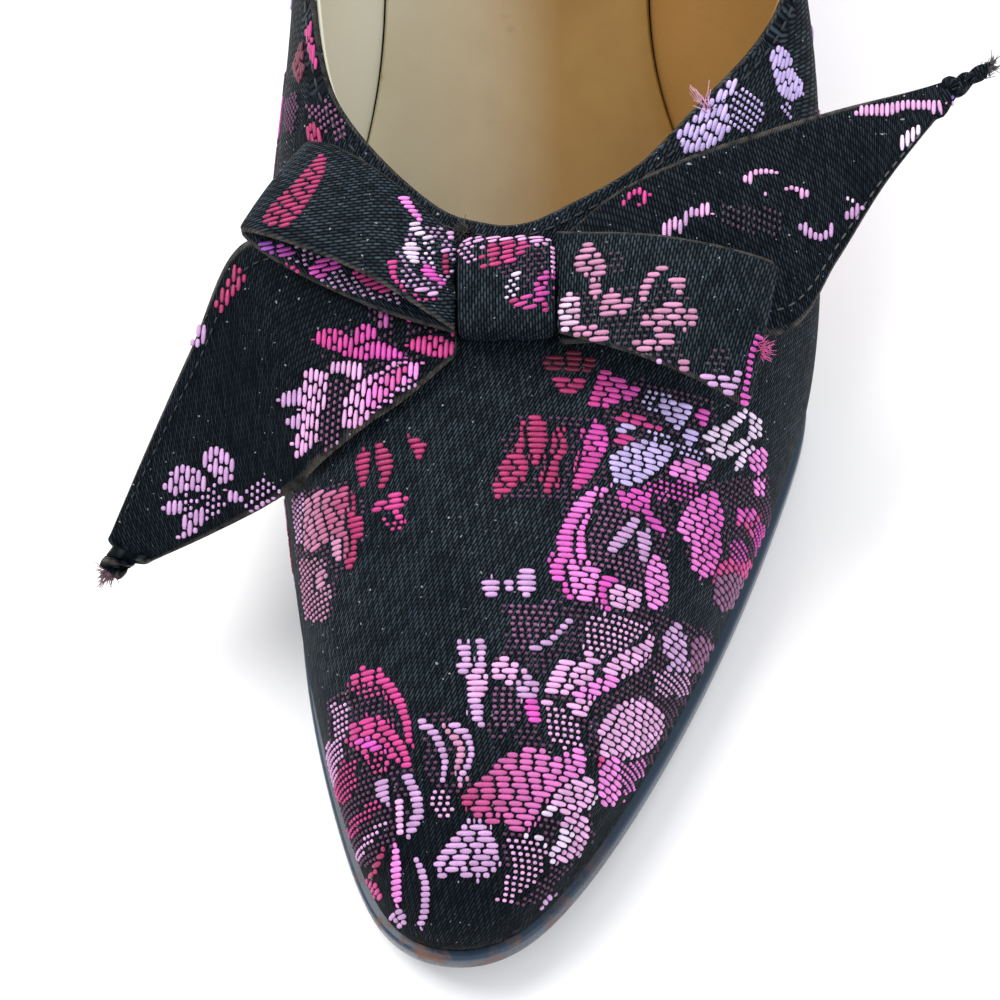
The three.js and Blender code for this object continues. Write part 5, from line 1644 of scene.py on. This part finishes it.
class Floats:
    """Floats of one piece: place, direction, direction out of the cloth, size and colour of each."""

    def __init__(self, width=FLOAT_WIDTH):
        self.rows = []
        self.width = width

    def lay(self, start, end, out, colour, width):
        run = end - start
        length = np.linalg.norm(run)
        if length < SHORTEST_FLOAT:
            return
        shade = random.uniform(0.82, 1.12)
        centre = (start + end) / 2 + unit(out) * FLOAT_RISE
        self.rows.append((centre, run / length, unit(out), (length, width, FLOAT_HEIGHT), colour * shade))

    def cut_into_dots(self, number, start, end):
        """Even dots, every other path half a step on."""
        phase = (number % 2) * DOT_SPACING / 2
        first = math.ceil((start - phase) / DOT_SPACING) * DOT_SPACING + phase
        return [(s, s + DOT_LENGTH) for s in np.arange(first, end - DOT_LENGTH * 0.6, DOT_SPACING)]

    def cut_into_bars(self, number, start, end):
        """Floats of about one length, their ends staggered from path to path."""
        count = max(1, round((end - start) / (FLOAT_LENGTH + FLOAT_GAP)))
        cuts = np.linspace(start, end, count + 1)
        if count > 1:
            step_on = (0.3 if number % 2 else -0.3) * FLOAT_LENGTH
            cuts[1:-1] += step_on + random.uniform(-0.25, 0.25, count - 1)
        return [(a + FLOAT_GAP / 2, b - FLOAT_GAP / 2) for a, b in zip(cuts[:-1], cuts[1:])]

    def follow(self, number, path, chart, may_show, flat=False):
        """Lays floats along one weft path, wherever the chart has a petal under it. The chart is drawn as the
        camera sees the cloth, or as it lies flat."""
        length = arc_lengths(path[:, :3])
        if length[-1] < SHORTEST_PATH:
            return
        at = np.arange(0, length[-1], SAMPLE_STEP)
        sampled = np.stack([np.interp(at, length, channel) for channel in path.T], axis=-1)
        places = sampled[:, 6:8] if flat else chart_places(sampled[:, :3])
        petal = np.full(len(at), -1)
        for k, (_, _, outline) in enumerate(chart):
            petal[inside_outline(places, outline)] = k
        petal[~may_show(sampled)] = -1
        for run in np.split(np.arange(len(at)), np.flatnonzero(np.diff(petal)) + 1):
            if petal[run[0]] < 0 or len(run) < 4:
                continue
            kind, silk, outline = chart[petal[run[0]]]
            cut = self.cut_into_dots if kind == "dots" else self.cut_into_bars
            width = self.width * (DOT_WIDTH if kind == "dots" else 1)
            for a, b in cut(number, at[run[0]], at[run[-1]]):
                ends = [np.array([np.interp(s, at, sampled[:, k]) for k in range(6)]) for s in (a, b)]
                colour = silk_colour(silk, outline, np.interp((a + b) / 2, at, places[:, 0]))
                self.lay(ends[0][:3], ends[1][:3], ends[0][3:] + ends[1][3:], colour, width)


def float_template():
    """One float, a unit long: a closed rounded bar with its fibres running along it."""
    around = 6
    rings = ((-0.43, 0.66), (-0.2, 1.0), (0.2, 1.0), (0.43, 0.66))
    points, uvs = [(-0.5, 0, 0)], [(0, 0)]
    for x, radius in rings:
        for k in range(around):
            angle = 2 * np.pi * k / around
            points.append((x, radius * 0.5 * math.cos(angle), radius * 0.5 * math.sin(angle)))
            uvs.append((x * 0.3, k / around))
    points.append((0.5, 0, 0))
    uvs.append((0, 1))
    mesh = bpy.data.meshes.new("float_template")
    mesh.from_pydata(points, [], tube_faces(len(rings), around))
    layer = mesh.uv_layers.new(name="fibre")
    for loop in mesh.loops:
        layer.data[loop.index].uv = uvs[loop.vertex_index]
    mesh.shade_smooth()
    template = add_object("float_template", mesh)
    turn_outwards(template)
    return template


def thread_tree():
    """Geometry nodes that set one thread on every point, turned and sized by the point's own values."""
    tree = bpy.data.node_groups.new("threads_on_points", "GeometryNodeTree")
    inputs = (("Geometry", "Geometry"), ("Thread", "Object"), ("Thickness", "Float"), ("Finish", "Material"))
    for name, kind in inputs:
        tree.interface.new_socket(name, in_out="INPUT", socket_type="NodeSocket" + kind)
    tree.interface.new_socket("Geometry", in_out="OUTPUT", socket_type="NodeSocketGeometry")

    def node(kind, **settings):
        made = tree.nodes.new(kind)
        for key, value in settings.items():
            setattr(made, key, value)
        return made

    def read(name):
        made = node("GeometryNodeInputNamedAttribute", data_type="FLOAT_VECTOR")
        made.inputs["Name"].default_value = name
        return made.outputs["Attribute"]

    entry, leave = node("NodeGroupInput"), node("NodeGroupOutput")
    turn = node("FunctionNodeAxesToRotation", primary_axis="Z", secondary_axis="X")
    thickness = node("ShaderNodeCombineXYZ")
    thickness.inputs[0].default_value = 1.0
    scaled = node("ShaderNodeVectorMath", operation="MULTIPLY")
    thread = node("GeometryNodeObjectInfo")
    placed = node("GeometryNodeInstanceOnPoints")
    joined = node("GeometryNodeRealizeInstances")
    finished = node("GeometryNodeSetMaterial")
    for start, end in (
        (read("outward"), turn.inputs[0]),
        (read("run"), turn.inputs[1]),
        (entry.outputs["Thickness"], thickness.inputs[1]),
        (entry.outputs["Thickness"], thickness.inputs[2]),
        (read("size"), scaled.inputs[0]),
        (thickness.outputs[0], scaled.inputs[1]),
        (entry.outputs["Thread"], thread.inputs["Object"]),
        (entry.outputs["Geometry"], placed.inputs["Points"]),
        (thread.outputs["Geometry"], placed.inputs["Instance"]),
        (turn.outputs[0], placed.inputs["Rotation"]),
        (scaled.outputs[0], placed.inputs["Scale"]),
        (placed.outputs[0], joined.inputs[0]),
        (joined.outputs[0], finished.inputs["Geometry"]),
        (entry.outputs["Finish"], finished.inputs["Material"]),
        (finished.outputs[0], leave.inputs[0]),
    ):
        tree.links.new(start, end)
    return tree


THREAD_TREE = thread_tree()
FLOAT_TEMPLATE = float_template()


def threads_piece(name, rows):
    """Turns a list of threads into one joined mesh, with each thread's colour on its points."""
    places, runs, outs, sizes, colours = (np.array(column) for column in zip(*rows))
    mesh = bpy.data.meshes.new(name + "_points")
    mesh.from_pydata((places * MM).tolist(), [], [])
    for key, values in (("run", runs), ("outward", outs), ("size", sizes * MM)):
        set_values(mesh, key, values, "FLOAT_VECTOR", "vector")
    opaque = np.concatenate([colours, np.ones((len(colours), 1))], axis=1)
    set_values(mesh, "thread_colour", opaque, "FLOAT_COLOR", "color")
    points = add_object(name + "_points", mesh)
    modifier = points.modifiers.new("threads", "NODES")
    modifier.node_group = THREAD_TREE
    entries = [item for item in THREAD_TREE.interface.items_tree if item.in_out == "INPUT"]
    sockets = {item.name: item.identifier for item in entries}
    modifier[sockets["Thread"]] = FLOAT_TEMPLATE
    modifier[sockets["Thickness"]] = 1.0
    modifier[sockets["Finish"]] = SILK
    graph = bpy.context.evaluated_depsgraph_get()
    joined = bpy.data.meshes.new_from_object(points.evaluated_get(graph), depsgraph=graph)
    joined.name = name
    for key in ("run", "outward", "size"):
        if key in joined.attributes:
            joined.attributes.remove(joined.attributes[key])
    bpy.data.objects.remove(points)
    piece = add_object(name, joined)
    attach(piece, "root")


def faces_camera(sampled):
    """Which samples of a path turn their outer face to the chart's point of view."""
    towards = unit(CAMERA_PLACE - sampled[:, :3])
    return (towards * unit(sampled[:, 3:6])).sum(axis=1) > GRAZING


def hidden_from_camera(sampled):
    """Which samples the chart's point of view can't see, or only beyond the edge of its picture."""
    places = chart_places(sampled[:, :3])
    beyond = (places[:, 1] < -CHART_MARGIN) | (places[:, 1] > PHOTO_SIZE + CHART_MARGIN)
    return beyond | ~faces_camera(sampled)


# Flowers of the hidden parts: petals, leaves and a dotted heart, drawn in the flat cloth in millimetres
def blob(across, up, length, width, degrees, count=10):
    """A pointed petal that starts at a place and runs in a direction."""
    angle = math.radians(degrees)
    outline = []
    for k in range(count):
        turn = 2 * math.pi * k / count
        along = length * (0.5 - 0.5 * math.cos(turn))
        side = width / 2 * math.sin(turn) * (1 - 0.3 * math.cos(turn))
        outline += [
            across + along * math.cos(angle) - side * math.sin(angle),
            up + along * math.sin(angle) + side * math.cos(angle),
        ]
    return tuple(outline)


def moved(across, up, reach, degrees):
    angle = math.radians(degrees)
    return across + reach * math.cos(angle), up + reach * math.sin(angle)


def flower(across, up, size, degrees, silks):
    """An open flower over dotted ground: outer petals, smaller inner ones, a dotted heart and two leaves."""
    petals = [("dots", "shade", blob(across - size * 1.05, up, size * 2.1, size * 1.9, 0, 14))]
    for turn in (degrees + 150, degrees + 215):
        start = moved(across, up, size * 0.7, turn)
        petals.append(("bars", "lilac", blob(*start, size * 0.95, size * 0.34, turn)))
    for k in range(5):
        turn = degrees + 72 * k
        start = moved(across, up, size * 0.12, turn)
        petals.append(("bars", silks[k % len(silks)], blob(*start, size * 0.9, size * 0.62, turn)))
    for k in range(5):
        turn = degrees + 36 + 72 * k
        petals.append(("bars", silks[(k + 1) % len(silks)], blob(across, up, size * 0.5, size * 0.24, turn)))
    petals.append(("dots", "pearl", blob(across - size * 0.16, up, size * 0.32, size * 0.32, 0)))
    return petals


def spray(across, up, size, degrees, silks):
    """Three leaves from one place, the middle one the longest."""
    leaves = []
    for k, swing in enumerate((-46, 0, 46)):
        length = size * (0.62 if swing else 0.9)
        leaves.append(("bars", silks[k % len(silks)], blob(across, up, length, size * 0.3, degrees + swing)))
    return leaves


def drawn(flowers):
    return [petal for draw, *values in flowers for petal in draw(*values)]


PINKS = ("magenta", "orchid", "rose")
LILACS = ("lavender", "lilac", "pearl")
REDS = ("ruby", "rose", "blush")
HIDDEN_FLOWERS = [
    (flower, -38, 70, 8, 20, REDS), (flower, -41, 94, 9, 50, LILACS), (spray, -43, 112, 9, 100, REDS),
    (flower, -47, 128, 11, 0, PINKS), (spray, -36, 143, 9, 40, LILACS), (flower, -46, 158, 11, 30, REDS),
    (spray, -36, 174, 9, 250, PINKS), (flower, -48, 188, 11, 60, LILACS), (spray, -38, 203, 9, 20, REDS),
    (flower, -42, 219, 11, 10, PINKS), (spray, -53, 234, 9, 120, REDS), (flower, -41, 250, 10, 40, LILACS),
    (spray, 40, 92, 9, 40, LILACS), (spray, 49, 106, 9, 60, PINKS), (flower, 56, 123, 11, 20, REDS),
    (spray, 46, 140, 9, 280, LILACS), (flower, 56, 157, 11, 50, PINKS), (spray, 46, 172, 9, 100, REDS),
    (flower, 55, 187, 11, 0, LILACS), (spray, 46, 202, 9, 80, LILACS), (flower, 54, 216, 11, 30, REDS),
    (spray, 47, 231, 9, 240, PINKS), (flower, 57, 247, 10, 60, PINKS), (spray, 48, 260, 8, 140, LILACS),
]
HIDDEN_CHART = drawn(HIDDEN_FLOWERS)


def charted(name, panels):
    """Floats of the upper. Each panel is a grid, its field, its flat cloth and the chart of its visible part,
    and says whether it carries the flowers of the hidden part too."""
    floats = Floats()
    for points, out, field, cloth, chart, hidden in panels:
        levels = np.arange(field.min() + WEFT_PITCH / 2, field.max(), WEFT_PITCH)
        for number, path in weft_paths(points, out, field, levels, cloth):
            floats.follow(number, path, chart, lambda sampled: ~hidden_from_camera(sampled))
            if hidden:
                floats.follow(number, path, HIDDEN_CHART, hidden_from_camera, flat=True)
    threads_piece(name, floats.rows)


_, front_points, front_out, front_uv = FRONT
middle_rays = slice(FRONT_REACH - FRONT_FLOATS, FRONT_REACH + FRONT_FLOATS + 1)
vamp_cloth = front_uv[middle_rays]
charted("vamp_floats", [
    (front_points[middle_rays], front_out[middle_rays], vamp_cloth[..., 1], vamp_cloth, VAMP_CHART, True),
])


def quarter_panel(side, first, last, chart, hidden):
    """Part of a quarter, with its weft slanting down from the topline."""
    points, out = wall_grid(np.arange(first, last + 1) * side)
    front_half = FRONT[3][:FRONT_REACH + 1][::-1] if side > 0 else FRONT[3][FRONT_REACH:]
    cloth = np.concatenate([front_half, (MEDIAL if side > 0 else LATERAL)[3][1:]])[first:last + 1]
    down = lengths_across(points[:, ::-1])
    back = arc_lengths(points[:, -1])
    angle = math.radians(QUARTER_WEFT_TURN)
    field = down * math.cos(angle) + back[:, None] * math.sin(angle)
    return points[:, ::-1], out[:, ::-1], field, cloth[:, ::-1], chart, hidden


for side_name, side in (("medial", 1), ("lateral", -1)):
    charted("quarter_floats_" + side_name, [
        quarter_panel(side, TOPLINE_FLOATS, TOPLINE_FLOATS_END, QUARTER_CHART, False),
        quarter_panel(side, FRONT_FLOATS, RAYS // 2, [], True),
    ])


def row_of_stitches(name, line, length, pitch, width, tone):
    """Stitches along a line, whose rows are a place and a direction out of the cloth."""
    run = arc_lengths(line[:, :3])
    floats = Floats()
    for start in np.arange(0, run[-1] - length, pitch):
        a, b = (np.array([np.interp(s, run, line[:, k]) for k in range(6)]) for s in (start, start + length))
        floats.lay(a[:3], b[:3], a[3:] + b[3:], tint(tone), width)
    threads_piece(name, floats.rows)


def topline_stitches():
    """A row of dark stitches just under the topline."""
    channels = np.concatenate(wall_grid(np.arange(RAYS + 1)), axis=-1)[:, ::-1]
    down = lengths_across(channels[..., :3])
    seam = np.array([
        [np.interp(STITCH_INSET, down[ray], channels[ray, :, k]) for k in range(6)]
        for ray in range(RAYS + 1)
    ])
    row_of_stitches("topline_stitches", seam, STITCH_LENGTH, STITCH_PITCH, 0.42, (26, 30, 36))


def outer_normals(grid, part):
    """Directions out of part of a strip of the bow, away from the shoe."""
    out = grid_normals(grid)[part]
    return out * (1 if np.median(out @ BOW_OUT) > 0 else -1)


def hem_stitches(name, grid, column, tone):
    """Stitches that hold the hem of a tail, along one column of its grid."""
    part = (slice(8, 88), column)
    out = outer_normals(grid, part)
    line = np.concatenate([grid[part] + out * (RIBBON_THICKNESS / 2), out], axis=1)
    row_of_stitches(name, line, 1.1, 1.7, 0.28, tone)


topline_stitches()
hem_stitches("tail_medial_hem", tail_medial_grid, 3, (34, 38, 44))
hem_stitches("tail_lateral_hem", tail_lateral_grid, 23, (74, 76, 72))


def bow_floats(name, grid, chart, degrees, pitch, width, thickness=RIBBON_THICKNESS, rays=slice(None),
               along_strip=False):
    """Floats of a piece of the bow. Degrees turn the weft in the bow's own plane, from straight across."""
    local = bow_local(grid[rays])
    out = outer_normals(grid, rays)
    angle = math.radians(degrees)
    field = local[..., 1] * math.cos(angle) - local[..., 0] * math.sin(angle)
    surface = grid[rays] + out * (thickness / 2)
    if along_strip:
        surface, out, field = surface.transpose(1, 0, 2), out.transpose(1, 0, 2), field.T
    if field[:, -1].mean() < field[:, 0].mean():
        surface, out, field = surface[:, ::-1], out[:, ::-1], field[:, ::-1]
    floats = Floats(width)
    levels = np.arange(field.min() + pitch / 2, field.max(), pitch)
    for number, path in weft_paths(surface, out, field, levels):
        floats.follow(number, path, chart, faces_camera)
    threads_piece(name, floats.rows)


LOOP_TOP = slice(0, 56)
LOOP_UNDER = slice(60, 111)
bow_floats("loop_medial_floats", loop_medial_grid, LOOP_MEDIAL_CHART, 8, 0.66, 0.6, rays=LOOP_TOP)
bow_floats("loop_medial_mouth_floats", loop_medial_grid, LOOP_MOUTH_CHART, 8, 0.66, 0.58, rays=LOOP_UNDER)
bow_floats("loop_lateral_floats", loop_lateral_grid, LOOP_LATERAL_CHART, -3, 0.82, 0.72, rays=LOOP_TOP)
bow_floats("tail_medial_floats", tail_medial_grid, TAIL_MEDIAL_CHART, 86, 0.78, 0.7, along_strip=True)
bow_floats("tail_lateral_floats", tail_lateral_grid, TAIL_LATERAL_CHART, 86, 0.7, 0.6, along_strip=True)
bow_floats("knot_floats", KNOT_GRID[:, :37], KNOT_CHART, 14, 0.7, 0.62, thickness=0)


def heel_floats():
    """Flowers on the covered heel, their weft running level round it."""
    loops = []
    for along, inner, outer, height in heel_rings():
        near, far = place(inner, along, height), place(outer, along, height)
        loops.append(np.concatenate([near, far[::-1][1:]]))
    grid = np.array(loops)[::-1].transpose(1, 0, 2)
    out = grid_normals(grid)
    middle = grid.mean(axis=(0, 1))
    out = out * np.sign(((grid - middle) * out).sum(axis=-1).mean())
    around = arc_lengths(grid[:, -1])
    around = around - around[-1] / 2
    height = grid[..., 2]
    cloth = np.stack([np.broadcast_to(around[:, None], height.shape), height], axis=-1)
    chart = drawn(HEEL_FLOWERS)
    floats = Floats()
    levels = np.arange(height.min() + WEFT_PITCH, height.max(), WEFT_PITCH)
    for number, path in weft_paths(grid, out, height, levels, cloth):
        floats.follow(number, path, chart, lambda sampled: np.ones(len(sampled), bool), flat=True)
    threads_piece("heel_floats", floats.rows)


HEEL_FLOWERS = [
    (flower, -2, 40, 10, 18, PINKS), (spray, 24, 36, 10, 110, LILACS), (flower, 40, 44, 10, 40, REDS),
    (spray, -22, 28, 10, 60, REDS), (flower, -40, 42, 10, 0, LILACS), (spray, 4, 12, 10, 80, LILACS),
    (spray, 30, 14, 9, 70, PINKS), (spray, -34, 10, 9, 120, PINKS),
]
heel_floats()

bpy.data.objects.remove(FLOAT_TEMPLATE)


def frayed_ends(name, start, direction, count, length, loose, tone):
    """A tuft of loose threads: where it is, which way, how many threads, their length, spread and colour."""
    shares = np.linspace(0, 1, 6)[:, None]
    radii = np.linspace(0.1, 0.045, 6)
    points, faces = [], []
    for _ in range(count):
        swing = unit(np.array(direction, float) + random.normal(0, loose, 3))
        bend = random.normal(0, 0.35, 3)
        reach = length * random.uniform(0.5, 1.0)
        root = np.array(start) + random.normal(0, 0.35, 3)
        path = root + swing * shares * reach + bend * shares ** 2 * reach * 0.6
        tube_points, sides = thread_tube(path, radii, 5)
        faces += [tuple(len(points) + v for v in face) for face in sides]
        points.extend(tube_points)
    piece = new_piece(name, points, faces, FRAY)
    colours = np.tile([*tint(tone), 1.0], (len(points), 1))
    set_values(piece.data, "thread_colour", colours, "FLOAT_COLOR", "color")


def on_topline(ray):
    """A place on the upper just under its topline."""
    return cloth_point(ray_positions(ray), TUFT_HEIGHT)[0]


def tail_end(grid):
    """The tip of a tail, and the way it points."""
    tip = grid[-1].mean(axis=0)
    return tip, tip - grid[-8].mean(axis=0)


frayed_ends("tip_threads_medial", *tail_end(tail_medial_grid), 110, 1.7, 0.8, (112, 76, 92))
frayed_ends("tip_threads_lateral", *tail_end(tail_lateral_grid), 70, 1.8, 0.6, (52, 44, 54))
frayed_ends("topline_threads", on_topline(-79), (-0.5, 0.5, 0.8), 14, 4.5, 0.3, (232, 170, 200))
frayed_ends("loop_threads_lateral", loop_lateral_grid[54, 16], (0.9, -0.4, 0.1), 50, 2.2, 0.6, (214, 70, 150))
frayed_ends("throat_threads", on_topline(27), (-0.2, 0.8, 0.6), 80, 1.5, 0.7, (12, 12, 18))

# The ribbons of the bow, each with what it rests on and the pieces on it
RIBBONS = (
    ("loop_medial_cloth", "tail_medial_cloth", ("loop_medial_floats", "loop_medial_mouth_floats")),
    ("loop_lateral_cloth", "tail_lateral_cloth", ("loop_lateral_floats", "loop_threads_lateral")),
    ("tail_medial_cloth", "upper_cloth", ("tail_medial_floats", "tail_medial_hem", "tip_threads_medial")),
    ("tail_lateral_cloth", "upper_cloth", ("tail_lateral_floats", "tail_lateral_hem", "tip_threads_lateral")),
)


def declare_ribbon(name, below, pieces_on_it):
    """Works out where each point of a ribbon lies in the flat cloth, in metres; the result is not used."""
    cloth = strip_cloth(STRIPS[name][0]) * MM


for ribbon in RIBBONS:
    declare_ribbon(*ribbon)


# Floor and light
FLOOR_REACH = 6.0


def make_stage():
    """A plain pale floor."""
    finish = Finish("pale_floor", Roughness=0.9, Specular_IOR_Level=0.1)
    where = finish.object_places()
    mottle = finish.noise(where, 3, 2)
    material = finish.done(finish.blend(mottle, paint(250, 250, 250), paint(246, 246, 247)))
    mesh = bpy.data.meshes.new("floor")
    corners = [(x * FLOOR_REACH, y * FLOOR_REACH, 0) for x, y in ((-1, -1), (1, -1), (1, 1), (-1, 1))]
    mesh.from_pydata(corners, [], [(0, 1, 2, 3)])
    mesh.materials.append(material)
    floor = add_object("floor", mesh)


def make_light(name, place_mm, target_mm, size, power, colour):
    """A square lamp that looks from one place to another."""
    data = bpy.data.lights.new(name, "AREA")
    data.size = size
    data.energy = power
    data.color = colour
    light = add_object(name, data)
    start, target = Vector(place_mm) * MM, Vector(target_mm) * MM
    light.location = start
    light.rotation_mode = "QUATERNION"
    light.rotation_quaternion = (target - start).to_track_quat("-Z", "Y")


# Lamps: place and target in millimetres, size in metres, power and colour
LAMPS = {
    "window": ((-420, 260, 760), (0, 0, 30), 0.5, 7.0, (1.0, 0.99, 0.97)),
    "fill": ((520, -420, 620), (0, 20, 30), 0.7, 3.0, (0.97, 0.98, 1.0)),
    "back": ((160, 620, 420), (0, 60, 60), 0.5, 2.5, (1.0, 0.98, 0.95)),
}
make_stage()
for lamp_name, lamp in LAMPS.items():
    make_light(lamp_name, *lamp)

world = bpy.data.worlds.new("studio")
world.use_nodes = True
world.node_tree.nodes["Background"].inputs[0].default_value = (0.96, 0.97, 1.0, 1)
world.node_tree.nodes["Background"].inputs[1].default_value = 0.75
bpy.context.scene.world = world
bpy.context.scene.view_settings.view_transform = "Standard"
